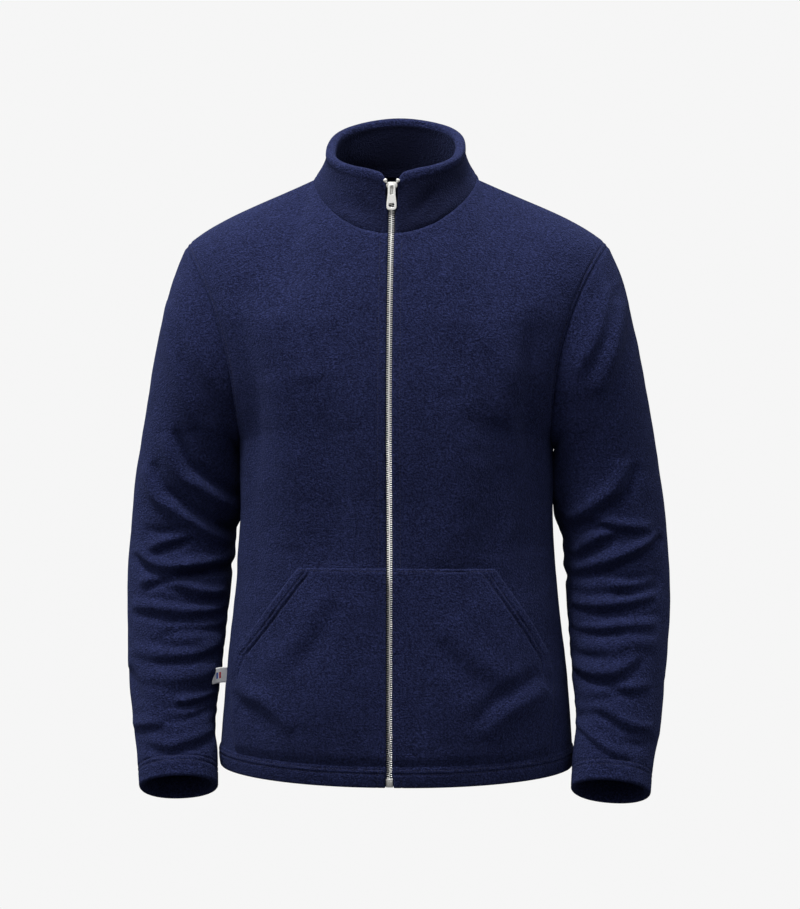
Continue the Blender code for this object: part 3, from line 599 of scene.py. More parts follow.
def crease_heights(cloth, creases, face):
    """How far creases seen from the front or back raise each point of a cloth."""
    faced = smooth_between(-face * cloth.out[..., 1] * -1, -0.45, 0.25)
    flat = cloth.points[..., [0, 2]].reshape(-1, 2)
    total = np.zeros(len(flat))
    for crease in creases:
        knots = np.array(crease.knots) / 1000
        at = np.linspace(0, len(knots) - 1, 12 * len(knots))
        line = np.array([[spline(knots[:, k], t) for k in (0, 1)] for t in at])
        gap = flat[:, None, :] - line[None]
        nearest = (gap**2).sum(axis=-1).argmin(axis=1)
        ahead = np.gradient(line, axis=0)[nearest]
        gap = gap[np.arange(len(flat)), nearest]
        above = np.sign(ahead[:, 0] * gap[:, 1] - ahead[:, 1] * gap[:, 0])
        width = crease.width / 1000
        across = above * np.hypot(gap[:, 0], gap[:, 1]) / width
        fade = np.clip(np.sin(np.pi * nearest / (len(line) - 1)), 0, 1) ** 0.55
        shape = np.exp(-(across**2)) - crease.under * np.exp(-(((across + 1.55) / 0.75) ** 2))
        total += crease.raised / 1000 * fade * shape
    return total.reshape(cloth.points.shape[:-1]) * faced


def mirrored(creases, lower=0.0, share=1.0):
    """The same creases on the other side, moved down by some millimetres."""
    return [
        crease._replace(
            raised=crease.raised * share, knots=[(-x, z - lower) for x, z in crease.knots[::-1]]
        )
        for crease in creases
    ]


# ---------------------------------------------------------------- finishes


class Value:
    """A socket that Python's operators build Math nodes on."""

    def __init__(self, finish, socket):
        self.finish, self.socket = finish, socket

    def math(self, operation, *values):
        return self.finish.math(operation, *values)

    def __add__(self, other):
        return self.math("ADD", self, other)

    def __sub__(self, other):
        return self.math("SUBTRACT", self, other)

    def __rsub__(self, other):
        return self.math("SUBTRACT", other, self)

    def __mul__(self, other):
        return self.math("MULTIPLY", self, other)

    def __gt__(self, other):
        return self.math("GREATER_THAN", self, other)

    def __lt__(self, other):
        return self.math("LESS_THAN", self, other)

    __radd__, __rmul__ = __add__, __mul__


class Finish:
    """A material with one Principled shader, whose constants are set on its own sockets."""

    def __init__(self, name, **constants):
        self.material = bpy.data.materials.new(name)
        self.material.use_nodes = True
        self.tree = self.material.node_tree
        self.shader = self.tree.nodes["Principled BSDF"]
        for socket, value in constants.items():
            self.shader.inputs[socket.replace("_", " ")].default_value = value

    def node(self, kind, settings=None, values=None, output=0):
        """A node of this kind: its settings first, then the numbers or links of its sockets."""
        made = self.tree.nodes.new(kind)
        for name, setting in (settings or {}).items():
            if name == "stops":
                ramp = made.color_ramp.elements
                for i, (place, colour) in enumerate(setting):
                    stop = ramp[i] if i < len(ramp) else ramp.new(place)
                    stop.position, stop.color = place, (*colour, 1)
            else:
                setattr(made, name, setting)
        for socket, value in (values or {}).items():
            self.feed(made.inputs[socket], value)
        return Value(self, made.outputs[output])

    def feed(self, socket, value):
        if isinstance(value, Value):
            self.tree.links.new(value.socket, socket)
        else:
            socket.default_value = value

    def set(self, socket, value):
        self.feed(self.shader.inputs[socket], value)

    def coordinates(self, which="Object"):
        node = self.tree.nodes.new("ShaderNodeTexCoord")
        return Value(self, node.outputs[which])

    def math(self, operation, *values):
        return self.node("ShaderNodeMath", {"operation": operation}, dict(enumerate(values)))

    def noise(self, where, scale, detail=2.0, roughness=0.5):
        values = {"Vector": where, "Scale": scale, "Detail": detail, "Roughness": roughness}
        return self.node("ShaderNodeTexNoise", {}, values)

    def split(self, where):
        node = self.node("ShaderNodeSeparateXYZ", {}, {0: where}).socket.node
        return [Value(self, output) for output in node.outputs]

    def ramp(self, value, *stops):
        return self.node("ShaderNodeValToRGB", {"stops": stops}, {0: value})

    def mix(self, share, first, second):
        values = {0: share, 6: first, 7: second}
        return self.node("ShaderNodeMix", {"data_type": "RGBA"}, values, output=2)

    def bump(self, height, distance, strength=1.0):
        values = {"Height": height, "Distance": distance, "Strength": strength}
        self.set("Normal", self.node("ShaderNodeBump", {}, values))


def rgb(r, g, b):
    return (r, g, b, 1.0)


def make_fleece(name, deep, light):
    """Brushed navy fleece: wormy clumps of pile, darker in their hollows as painted shade, with a dull blue
    sheen.
    """
    fleece = Finish(
        name, Sheen_Weight=0.13, Sheen_Roughness=0.5, Sheen_Tint=rgb(0.28, 0.36, 0.90),
        Specular_IOR_Level=0.06, Roughness=0.97,
    )
    where = fleece.coordinates()
    # A UV map of the collar sets how far its colour is darkened: painted shade.
    inside, _, _ = fleece.split(fleece.node("ShaderNodeUVMap", {"uv_map": "inside"}))
    clumps = fleece.noise(where, 480, 2.0, 0.55)
    furrows = fleece.math("ABSOLUTE", fleece.noise(where, 300, 2.0, 0.55) - 0.5)
    fibres = fleece.noise(where, 1100, 2.0, 0.6)
    drifts = fleece.noise(where, 60, 2.0, 0.5)
    pile = clumps * 0.52 + furrows * 0.75 + fibres * 0.30
    # Mostly the pile, so its low points are darker: painted shade in the hollows; the drifts add a little
    # random tone.
    hollow_shade_and_tone = pile * 0.93 + drifts * 0.07
    shown = fleece.ramp(hollow_shade_and_tone, (0.36, deep), (0.62, light))
    # Towards a darker navy where that UV map is set: painted shade on the collar's inner face and front.
    fleece.set("Base Color", fleece.mix(inside, shown, rgb(*(part * 0.55 for part in deep))))
    fleece.bump(pile, 0.0042, 1.0)
    return fleece.material


def make_thread():
    thread = Finish("stitch_thread", Specular_IOR_Level=0.35)
    where = thread.coordinates()
    twist = thread.noise(where, 2600, 1.0)
    thread.set("Base Color", thread.ramp(twist, (0.35, (0.010, 0.012, 0.036)), (0.7, (0.026, 0.030, 0.078))))
    thread.set("Roughness", 0.55 + twist * 0.3)
    thread.bump(twist, 0.0002)
    return thread.material


def make_tape():
    """Woven polyester tape: fine ribs across it and a herringbone along it."""
    tape = Finish("woven_zip_tape", Specular_IOR_Level=0.3, Sheen_Weight=0.15, Sheen_Roughness=0.5)
    x, _, z = tape.split(tape.coordinates())
    ribs = tape.math("SINE", (z + x * 0.9) * 5200)
    threads = tape.math("SINE", x * 7800)
    weave = ribs * 0.3 + threads * 0.2 + 0.5
    tape.set("Base Color", tape.ramp(weave, (0.1, (0.005, 0.006, 0.017)), (0.9, (0.018, 0.021, 0.052))))
    tape.set("Roughness", 0.72 + weave * 0.2)
    tape.bump(weave, 0.0003)
    return tape.material


def make_metal():
    """Nickel-plated zip metal, a little uneven and duller in its scuffs."""
    metal = Finish("nickel_zip", Metallic=0.35)
    where = metal.coordinates()
    cast = metal.noise(where, 700, 3.0, 0.6)
    scuffs = metal.noise(where, 2600, 2.0, 0.7)
    metal.set("Base Color", metal.ramp(cast, (0.3, (0.74, 0.735, 0.71)), (0.7, (0.88, 0.875, 0.85))))
    metal.set("Roughness", 0.22 + scuffs * 0.26)
    metal.bump(cast * 0.6 + scuffs * 0.4, 0.00012, 0.6)
    return metal.material


def make_label():
    """White woven satin with two plain upright stripes, blue and red, on its front half."""
    label = Finish("woven_label", Specular_IOR_Level=0.4, Sheen_Weight=0.2)
    across, up, _ = label.split(label.coordinates("UV"))
    warp = label.math("SINE", up * 190)
    weft = label.math("SINE", across * 420)
    weave = warp * 0.28 + weft * 0.22 + 0.5
    tall = (up > 0.30) * (up < 0.70)
    blue = (across > 0.630) * (across < 0.690) * tall
    red = (across > 0.725) * (across < 0.785) * tall
    cloth = label.ramp(weave, (0.1, (0.90, 0.90, 0.91)), (0.9, (0.97, 0.97, 0.97)))
    striped = label.mix(blue, cloth, rgb(0.02, 0.12, 0.52))
    label.set("Base Color", label.mix(red, striped, rgb(0.62, 0.02, 0.04)))
    label.set("Roughness", 0.5 + weave * 0.2)
    label.bump(weave, 0.00015)
    return label.material


FLEECE_FINISH = make_fleece("navy_fleece", (0.0050, 0.0064, 0.0230), (0.0260, 0.0335, 0.1060))
THREAD = make_thread()
TAPE = make_tape()
METAL = make_metal()
LABEL = make_label()


# ---------------------------------------------------------------- pieces


def finish_piece(name, bm, finish, replaced=(), body="jacket", smooth=60):
    """The piece as an object at the origin, riding on its body."""
    mesh = bpy.data.meshes.new(name)
    bm.to_mesh(mesh)
    bm.free()
    mesh.shade_smooth()
    mesh.set_sharp_from_angle(angle=math.radians(smooth))
    mesh.materials.append(finish)
    piece = bpy.data.objects.new(name, mesh)
    bpy.context.scene.collection.objects.link(piece)
    if replaced:
        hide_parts(*replaced)
    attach(piece, body)
    return piece


def cloth_mesh(cloth, welded=False):
    """The cloth's grid as a mesh with its outer side out, and with its own flat layout as UVs."""
    rows, columns = cloth.points.shape[:2]
    bm = bmesh.new()
    bmesh.ops.create_grid(bm, x_segments=columns - 1, y_segments=rows - 1, size=0.5)
    layout = bm.loops.layers.uv.new("cut")
    for vertex in bm.verts:
        share = vertex.co.xy + Vector((0.5, 0.5))
        for loop in vertex.link_loops:
            loop[layout].uv = share
        vertex.co = cloth.points[round(share.y * (rows - 1)), round(share.x * (columns - 1))]
    if welded:
        bmesh.ops.remove_doubles(bm, verts=bm.verts, dist=2e-5)
    bmesh.ops.recalc_face_normals(bm, faces=bm.faces)
    bm.faces.ensure_lookup_table()
    middle = cloth.points.shape[0] * 2 // 3 * (columns - 1) + columns // 2
    face = bm.faces[middle]
    at = face.calc_center_median()
    gaps = np.linalg.norm(cloth.points - np.array(at), axis=-1)
    out = cloth.out[np.unravel_index(gaps.argmin(), gaps.shape)]
    if face.normal.dot(Vector(out)) < 0:
        bmesh.ops.reverse_faces(bm, faces=bm.faces)
    return bm


def thicken(piece):
    wall = piece.modifiers.new("fleece", "SOLIDIFY")
    wall.thickness = FLEECE
    wall.offset = -1.0
    wall.use_even_offset = False


def stitches(name, lines):
    """Rows of stitches as one mesh, each a small rounded bar along its line."""
    bm = bmesh.new()
    for points, out in lines:
        run = run_along(points)
        for i in range(int(run[-1] / STITCH_PITCH)):
            middle = (i + 0.5) * STITCH_PITCH
            ends = interpolated(run, points, np.array([middle - 0.0008, middle, middle + 0.0008]))
            ahead = Vector(ends[2] - ends[0]).normalized()
            up = Vector(interpolated(run, out, middle))
            side = up.cross(ahead).normalized()
            up = ahead.cross(side)
            shape = Matrix.Identity(4)
            sizes = (STITCH_LENGTH / 2, STITCH_RADIUS * 1.2, STITCH_RADIUS)
            for k, (axis, size) in enumerate(zip((ahead, side, up), sizes)):
                for row in range(3):
                    shape[row][k] = axis[row] * size
            shape.translation = Vector(ends[1])
            bmesh.ops.create_icosphere(bm, subdivisions=1, radius=1.0, matrix=shape)
    return finish_piece(name, bm, THREAD)


SIDES = ((LEFT, "left"), (RIGHT, "right"))


def panel_columns(place):
    """Columns of a panel, which always hold the corner between the neckline and the shoulder."""
    neck = even_places(lambda c: place(c, 5.0), 0.0, NECK_SHARE, (True, False), reach=0.013)
    rest = even_places(lambda c: place(c, 5.0), NECK_SHARE, 1.0, (False, True), reach=0.013)
    return list(neck) + list(rest[1:])


def panel_rows(place):
    return list(even_places(lambda r: place(0.35, r), 0.0, TOP_ROW))


def build_fronts():
    columns, rows = panel_columns(front_point), panel_rows(front_point)
    upper = np.array([smooth_step(row, ARMPIT_ROW - 0.3, ARMPIT_ROW + 0.3) for row in rows])[:, None]
    fronts = {}
    for side, hand in SIDES:
        cloth = Cloth(rows, columns, front_point, side)
        height = crease_heights(cloth, BODY_FRONT + BODY_POCKETS, FRONT) + unevenness(cloth.points, 3.0)
        at_zip, at_side, at_hem = (cloth.distance(e) for e in ("first_column", "last_column", "first_row"))
        height *= smooth_between(at_zip, 0.004, 0.030) * smooth_between(at_side, 0.0, 0.02)
        at_top = cloth.distance("last_row")
        height *= 1.4 * smooth_between(at_hem, -0.004, 0.03) * smooth_between(at_top, 0, 0.02)
        tuck = puckers(cloth.points)
        height += swell(at_side, at_top)
        height += groove(at_side, ARMHOLE_STITCH, 0.0013, 0.0015) * upper * tuck
        height += groove(at_zip, 0.0, 0.0010, 0.0011) + groove(at_zip, ZIP_STITCH, 0.0006) * tuck
        height += hem_band(at_hem)
        for stitched in HEM_STITCHES:
            height += groove(at_hem, stitched, 0.0010) * tuck
        cloth.raise_by(height)
        lines = [cloth.line("first_row", stitched, 0.01, 0.99) for stitched in HEM_STITCHES]
        lines.append(cloth.line("last_column", ARMHOLE_STITCH, 0.585, 0.995))
        lines.append(cloth.line("first_column", ZIP_STITCH, 0.002, 0.985))
        cloth.turned_up(HEM_TURN)
        bm = cloth_mesh(cloth)
        piece = finish_piece(f"front_{hand}_fleece", bm, FLEECE_FINISH, [f"front_{hand}"])
        thicken(piece)
        stitches(f"front_{hand}_stitches", lines)
        fronts[side] = cloth
    return fronts


def hem_band(at_hem):
    """Height of the doubled cloth between the fold and the top of the turn-up."""
    return HEM_BAND * (1 - smooth_between(at_hem, HEM_TURN - 0.0030, HEM_TURN + 0.0010))


def build_back():
    half = panel_columns(lambda c, r: panel_point(c, r, BACK))
    columns = [-c for c in half[:0:-1]] + half

    def place(column, row):
        point = panel_point(abs(column), row, BACK)
        point.x *= math.copysign(1, column)
        return point

    rows = panel_rows(place)
    upper = np.array([smooth_step(row, ARMPIT_ROW - 0.3, ARMPIT_ROW + 0.3) for row in rows])[:, None]
    cloth = Cloth(rows, columns, place)
    height = crease_heights(cloth, BODY_BACK, BACK) + unevenness(cloth.points, 7.0)
    at_hem, at_top = cloth.distance("first_row"), cloth.distance("last_row")
    height *= smooth_between(at_hem, -0.004, 0.03) * smooth_between(at_top, 0, 0.02)
    tuck = puckers(cloth.points)
    sides = [cloth.distance(edge) for edge in ("first_column", "last_column")]
    height *= smooth_between(np.minimum(*sides), 0.0, 0.02)
    height += swell(at_top, *sides)
    height += hem_band(at_hem)
    height += groove(np.minimum(*sides), ARMHOLE_STITCH, 0.0009) * upper * tuck
    for stitched in HEM_STITCHES:
        height += groove(at_hem, stitched, 0.0010) * tuck
    cloth.raise_by(height)
    lines = [cloth.line("first_row", stitched, 0.005, 0.995) for stitched in HEM_STITCHES]
    lines += [cloth.line(edge, ARMHOLE_STITCH, 0.585, 0.995) for edge in ("first_column", "last_column")]
    cloth.turned_up(HEM_TURN)
    piece = finish_piece("back_fleece", cloth_mesh(cloth), FLEECE_FINISH, ["back"])
    thicken(piece)
    stitches("back_stitches", lines)


def build_sleeves():
    seen = {LEFT: LEFT_SLEEVE, RIGHT: RIGHT_SLEEVE}
    unseen = {
        LEFT: mirrored(RIGHT_SLEEVE, lower=9, share=0.9),
        RIGHT: mirrored(LEFT_SLEEVE, lower=-7, share=0.9),
    }
    around = even_places(lambda a: oval_point(4.0, a % 360), 180.0, 540.0, reach=0.008)
    along = even_places(lambda r: sleeve_point(r, 60.0), CUFF_ROW, 0.0, cell=0.0031)
    for side, hand in SIDES:
        cloth = Cloth(along, around, lambda a, r: sleeve_point(r, a), side)
        cloth.out[:, -1] = cloth.out[:, 0] = cloth.out[:, 0] + cloth.out[:, -1]
        cloth.out[:, [0, -1]] /= np.linalg.norm(cloth.out[:, [0, -1]], axis=-1, keepdims=True)
        height = crease_heights(cloth, seen[side], FRONT) + crease_heights(cloth, unseen[side], BACK)
        height += unevenness(cloth.points, 11.0 + side)
        at_cuff, at_cap = cloth.distance("first_row"), cloth.distance("last_row")
        under = np.minimum(cloth.distance("first_column"), cloth.distance("last_column"))
        height *= smooth_between(at_cuff, 0.0, 0.04) * smooth_between(at_cap, 0.0, 0.035)
        height *= 0.55 + 0.45 * smooth_between(under, 0.0, 0.03)
        heights = cloth.points[..., 2]
        full = smooth_between(heights, -0.420, -0.350) * (1 - smooth_between(heights, -0.284, -0.250))
        height += UNDERARM_FULLNESS * full * (1 - smooth_between(under, 0.030, 0.115))
        tuck = puckers(cloth.points)
        height += swell(at_cap, under)
        for stitched in CUFF_STITCHES:
            height += groove(at_cuff, stitched, 0.0010) * tuck
        cloth.raise_by(height)
        lines = [cloth.line("first_row", stitched) for stitched in CUFF_STITCHES]
        cloth.turned_up(CUFF_TURN, CUFF_RADIUS)
        bm = cloth_mesh(cloth, welded=True)
        piece = finish_piece(f"sleeve_{hand}_fleece", bm, FLEECE_FINISH, [f"sleeve_{hand}"])
        thicken(piece)
        stitches(f"sleeve_{hand}_stitches", lines)


def build_pockets():
    """Each pocket is sewn down along its top, the hem and the zip, and stands open at its slant."""
    for side, hand in SIDES:
        place = lambda c, r: pocket_point(c, r, side)
        across = even_places(lambda c: place(c, 2.5), 0.0, 1.0, (True, True), cell=0.0030, reach=0.030)
        up = even_places(lambda r: place(0.5, r), POCKET_HEM_ROW, POCKET[-1].row, cell=0.0026, reach=0.008)
        cloth = Cloth(up, across, place, side)
        at_top, at_low, at_zip = (cloth.distance(e) for e in ("last_row", "first_row", "first_column"))
        edge = cloth.points[:, -1]
        at_open = np.linalg.norm(cloth.points[:, :, None] - edge[None, None], axis=-1).min(axis=-1)
        opens = (POCKET_OPEN_ROW - 0.1, POCKET_OPEN_ROW + 0.1)
        is_open = np.array([smooth_step(row, *opens) for row in up])[:, None]
        shared = crease_heights(cloth, BODY_FRONT + BODY_POCKETS, FRONT) + unevenness(cloth.points, 3.0)
        above_hem = at_low + HEM_STITCHES[1]
        shared *= smooth_between(at_zip, 0.004, 0.030) * smooth_between(above_hem, -0.004, 0.03)
        bulge = POCKET_BULGE * smooth_between(at_top, 0.0, 0.06) * smooth_between(at_low, 0.0, 0.08)
        bulge = bulge * smooth_between(at_zip, 0.005, 0.08)
        tuck = puckers(cloth.points)
        facing = is_open * (1 - smooth_between(at_open, *POCKET_STITCHES))
        sewn = np.minimum(np.minimum(at_top, at_low), at_open + is_open)
        caught = 0.25 + 0.75 * smooth_between(at_low, 0.002, 0.020)
        height = (POCKET_PROUD + SEAM_SWELL) * caught + shared + bulge + 0.0014 * facing
        height += groove(at_open, 0.0, 0.0016, 0.0016) * is_open
        height += groove(sewn, 0.0, 0.0022, 0.0020) + groove(at_top, 0.0036, 0.0011) * tuck
        for stitched in POCKET_STITCHES:
            height += groove(at_open, stitched, 0.0013) * tuck * is_open
        cloth.raise_by(height)
        lines = [cloth.line("last_row", 0.0036, 0.02, 0.99), cloth.line("last_column", 0.0035, 0.02, 0.40)]
        lines += [cloth.line("last_column", d, 0.46, 0.97, at_open) for d in POCKET_STITCHES]
        bm = cloth_mesh(cloth)
        piece = finish_piece(f"pocket_{hand}_fleece", bm, FLEECE_FINISH, [f"pocket_{hand}"])
        thicken(piece)
        stitches(f"pocket_{hand}_stitches", lines)


def build_collar():
    """Outer face, rolled rim and inner face in one closed skin, rounded off along the zip and neck."""
    half = COLLAR_WALL / 2
    turns = even_places(lambda t: collar_point(t, 0.5), 0.0, 180.0, (True, False), cell=0.0034, reach=0.016)
    rises = even_places(lambda r: collar_point(60.0, r), 0.0, 1.0, (True, True), cell=0.0034, reach=0.010)

    def place(column, row):
        point = collar_point(180 - abs(column), row)
        point.x *= math.copysign(1, column)
        return point

    columns = [-(180 - t) for t in turns][:-1] + [180 - t for t in turns[::-1]]
    cloth = Cloth(rises, columns, place)
    at_neck = cloth.distance("first_row")
    at_zip = np.minimum(cloth.distance("first_column"), cloth.distance("last_column"))
    tuck = puckers(cloth.points, 70.0)
    wave = unevenness(cloth.points, 5.0) * 0.9 * smooth_between(at_neck, 0.0, 0.02)
    soft = wave * smooth_between(at_zip, 0.0, 0.02)
    soft += groove(at_zip, 0.0070, 0.0007) * tuck
    soft += 0.4 * swell(at_neck)
    x, y = cloth.points[..., 0], cloth.points[..., 1] - NECK_TOP.y_centre
    squared = (2 * x * np.maximum(y, 0) / (x**2 + y**2)) ** 2
    soft += COLLAR_SQUARED * squared * smooth_between(at_neck, 0.005, 0.050)
    faced = smooth_between(-cloth.out[..., 1], 0.0, 0.5) * smooth_between(at_zip, 0.006, 0.045)
    soft += crease_heights(cloth, COLLAR_FRONT, FRONT) * smooth_between(at_zip, 0.004, 0.016)
    dip_from, dip_reach = COLLAR_DIP_PLACE
    dip = COLLAR_DIP * np.exp(-(((at_neck - dip_from) / dip_reach) ** 2))
    soft += faced * (COLLAR_LEAN * smooth_between(at_neck, 0.010, 0.060) - dip)
    soft += RIM_BEAD * (1 - smooth_between(cloth.distance("last_row"), 0.003, 0.010))
    cloth.raise_by(soft)

    def rounded(away, reach):
        """Depth lost where the skin rounds off along the zip, as a share of half the wall."""
        short = np.clip(1 - away / reach, 0, 1)
        return 1 - np.sqrt(np.clip(1 - short**2, 0, 1))

    fallen = (1 - smooth_between(at_zip, 0.001, 0.034)) * smooth_between(at_neck, 0.020, 0.055)
    cloth.points[..., 2] -= RIM_FALL * fallen
    lost = rounded(at_zip, 0.0034) * half
    outer = cloth.points - cloth.out * lost[..., None]
    bead = 2 * RIM_BEAD * (1 - smooth_between(cloth.distance("last_row"), 0.003, 0.010))
    inner = cloth.points - cloth.out * (2 * half + bead - lost)[..., None]
    half += RIM_BEAD
    ends = rounded(at_zip[-1], 0.0034)[:, None]
    up = cloth.points[-1] - cloth.points[-2]
    up /= np.linalg.norm(up, axis=-1, keepdims=True)
    middle = cloth.points[-1] - cloth.out[-1] * half
    over = []
    for degrees in range(15, 180, 15):
        turn = math.radians(degrees)
        reach = half * (1 - ends)
        over.append(middle + cloth.out[-1] * reach * math.cos(turn) + up * reach * 0.82 * math.sin(turn))
    down = inner[0] - inner[1]
    down *= COLLAR_ALLOWANCE / np.linalg.norm(down, axis=-1, keepdims=True)
    below = [inner[0] + down * share for share in (0.33, 0.66, 1.0)]
    below.append(inner[0] + down + cloth.out[0] * 0.0022)
    rows = [outer, over, inner[::-1], below, outer[:1]]
    inner_from = len(outer) + len(over) + 2
    ways_out = cloth.out
    cloth.points = np.concatenate([np.array(row) for row in rows])
    cloth.out = np.concatenate([ways_out, np.repeat(ways_out[-1:], len(over), axis=0), ways_out[::-1],
                                np.repeat(ways_out[:1], len(below) + 1, axis=0)])
    bm = cloth_mesh(cloth)
    # This UV layer paints shade into the collar's colour: the whole inner face is darkened as painted shade,
    # and so is the outer face's front below the rim, more towards +X.
    cut, inside = bm.loops.layers.uv["cut"], bm.loops.layers.uv.new("inside")
    rim_row, row_size = len(outer) - 1, COLLAR_HEIGHT / len(outer)

    def from_rim(row):
        return max(0.0, (rim_row - row) * row_size)

    for face in bm.faces:
        for loop in face.loops:
            row = loop[cut].uv.y * (len(cloth.points) - 1)
            x, y, _ = loop.vert.co
            faced = smooth_step(-y, 0.0, 0.05) * smooth_step(from_rim(row), 0.004, 0.014)
            # Painted shade on the front of the outer face, darker towards +X, where less light falls.
            front_face_shade = faced * (0.45 + 0.37 * smooth_step(x, -0.050, 0.030))
            loop[inside].uv = (1.0 if row > inner_from else front_face_shade, 0.0)
    bmesh.ops.remove_doubles(bm, verts=bm.verts, dist=2e-5)
    bmesh.ops.recalc_face_normals(bm, faces=bm.faces)
    piece = finish_piece("collar_fleece", bm, FLEECE_FINISH, ["collar"])


# ---------------------------------------------------------------- zip and label


@lru_cache(maxsize=None)
def zip_line():
    """The line down the middle of the zip, level with the fleece, and its ways out."""
    points = [front_point(0.0, row) for row in np.linspace(0, TOP_ROW, 401)[:-1]]
    points += [collar_point(0.0, rise) for rise in np.linspace(0, 1, 41)]
    points = np.array(points)
    points[:, 0] = 0
    ahead = np.gradient(points, axis=0)
    out = np.stack([np.zeros(len(ahead)), -ahead[:, 2], ahead[:, 1]], axis=-1)
    return points, out / np.linalg.norm(out, axis=-1, keepdims=True)


def zip_place(z):
    """A place on the zip: local Z runs up it and local -Y points outwards."""
    points, out = zip_line()
    at = interpolated(points[:, 2], points, z)
    aim = interpolated(points[:, 2], out, z)
    return Matrix.Translation(Vector(at)) @ Matrix.Rotation(-math.atan2(aim[2], -aim[1]), 4, "X")


def add_block(bm, size, centre, place=Matrix.Identity(4)):
    """A cube of this size in a mesh, at a centre in the place's own directions."""
    shape = place @ Matrix.Translation(Vector(centre)) @ Matrix.Diagonal((*size, 1.0))
    return bmesh.ops.create_cube(bm, size=1.0, matrix=shape)["verts"]


def rounded_edges(bm, offset, segments=2, edges=None):
    bmesh.ops.bevel(
        bm, geom=edges or list(bm.edges), offset=offset, offset_type="OFFSET", segments=segments,
        profile=0.5, affect="EDGES", material=-1, clamp_overlap=True,
    )


def build_teeth():
    points, _ = zip_line()
    low, high = BOX_Z + BOX_SIZE[2] / 2 + 0.0008, SLIDER_Z - 0.0040
    run = run_along(points)
    start, end = np.interp(low, points[:, 2], run), np.interp(high, points[:, 2], run)
    for side, hand in SIDES:
        bm = bmesh.new()
        first = start + (TOOTH_PITCH / 2 if side == LEFT else 0)
        for at in np.arange(first, end, TOOTH_PITCH):
            place = zip_place(np.interp(at, run, points[:, 2]))
            add_block(bm, TOOTH_SIZE, (side * TOOTH_X, CHAIN_DEPTH, 0), place)
            add_block(bm, TOOTH_HEAD, (side * -0.0001, CHAIN_DEPTH, 0), place)
        rounded_edges(bm, 0.0003, 1)
        finish_piece(f"zip_teeth_{hand}", bm, METAL, [f"zip_chain_{hand}"], smooth=35)


def build_beads():
    """The corded edge of each tape, which the teeth are clamped to."""
    low, high = BOX_Z + BOX_SIZE[2] / 2 - 0.002, SLIDER_Z - 0.0040
    count = 120
    for side, hand in SIDES:
        bm = bmesh.new()
        bmesh.ops.create_grid(bm, x_segments=4, y_segments=count, size=0.5)
        for vertex in bm.verts:
            across, up = vertex.co.x + 0.5, vertex.co.y + 0.5
            place = zip_place(low + (high - low) * up)
            x = BEAD_EDGES[0] + (BEAD_EDGES[1] - BEAD_EDGES[0]) * across
            swollen = 0.0006 * math.sin(math.pi * across)
            vertex.co = place @ Vector((side * x, CHAIN_DEPTH + 0.0010 - swollen, 0))
        bmesh.ops.recalc_face_normals(bm, faces=bm.faces)
        bead = finish_piece(f"zip_bead_{hand}", bm, TAPE)
        wall = bead.modifiers.new("cord", "SOLIDIFY")
        wall.thickness, wall.offset = 0.0006, 0.0


def take_in(bm, other):
    """Adds another bmesh's shape to this one, and frees the other."""
    mesh = bpy.data.meshes.new("part")
    other.to_mesh(mesh)
    other.free()
    bm.from_mesh(mesh)


def build_slider():
    """Two plates with ears at the top, a bridge, flanges that hold the teeth, and the pull's bail."""
    front, front_back, rear_front, rear = PLATE_FACES
    tall = SLIDER_TOP - SLIDER_BOTTOM
    narrow = SLIDER_HALF_WIDTH
    bm = bmesh.new()
    for near, far in ((front, front_back), (rear_front, rear)):
        for low, high, half, part in ((SLIDER_BOTTOM, SLIDER_TOP - 0.002, narrow, 0.0), EARS):
            add_block(bm, (2 * half, far - near + part, high - low), (0, (near + far) / 2, (high + low) / 2))
    through = [e for e in bm.edges if abs(e.verts[0].co.y - e.verts[1].co.y) > 1e-5]
    rounded_edges(bm, 0.0030, 6, through)
    rim = [e for e in bm.edges if abs(e.verts[0].co.y - e.verts[1].co.y) < 1e-6]
    rounded_edges(bm, 0.0004, 2, rim)
    bridge = bmesh.new()
    add_block(bridge, (0.0032, rear - front, 0.0034), (0, (front + rear) / 2, SLIDER_TOP - 0.0022))
    add_block(bridge, (BAIL_WIDTH, 0.0011, 0.0078), (0, front - 0.0004, -0.0046))
    for side in (LEFT, RIGHT):
        x = side * (narrow + 0.0002)
        for y in (front_back + 0.0004, rear_front - 0.0004):
            add_block(bridge, (0.0009, 0.0011, tall * 0.62), (x, y, SLIDER_BOTTOM + tall * 0.38))
    rounded_edges(bridge, 0.0003, 2)
    take_in(bm, bridge)

    small, large = BAIL_RADII
    hinge = Vector((0, -HINGE_PROUD, HINGE_RISE))
    section = add_section(bm, small, large, hinge)
    bmesh.ops.spin(
        bm, geom=section, cent=hinge, axis=(1, 0, 0), angle=math.pi, steps=12, use_merge=False,
    )
    for side in (1, -1):
        leg = (BAIL_WIDTH, HINGE_PROUD + front + 0.0008, large - small)
        centre = hinge + Vector((0, leg[1] / 2, side * (small + large) / 2))
        add_block(bm, leg, centre)
    bmesh.ops.transform(bm, matrix=zip_place(SLIDER_Z), verts=bm.verts)
    bmesh.ops.recalc_face_normals(bm, faces=bm.faces)
    finish_piece("zip_slider_metal", bm, METAL, ["zip_slider"], smooth=35)


def add_section(bm, small, large, centre):
    """The bail's square section, standing above the hinge, ready to be spun over the front."""
    made = bmesh.ops.create_grid(bm, x_segments=1, y_segments=1, size=0.5)["verts"]
    for vertex in made:
        x, along = vertex.co.x * BAIL_WIDTH, small + (vertex.co.y + 0.5) * (large - small)
        vertex.co = centre + Vector((x, 0, along))
    edges = {edge for vertex in made for edge in vertex.link_edges}
    return list(made) + list(edges) + list({f for v in made for f in v.link_faces})


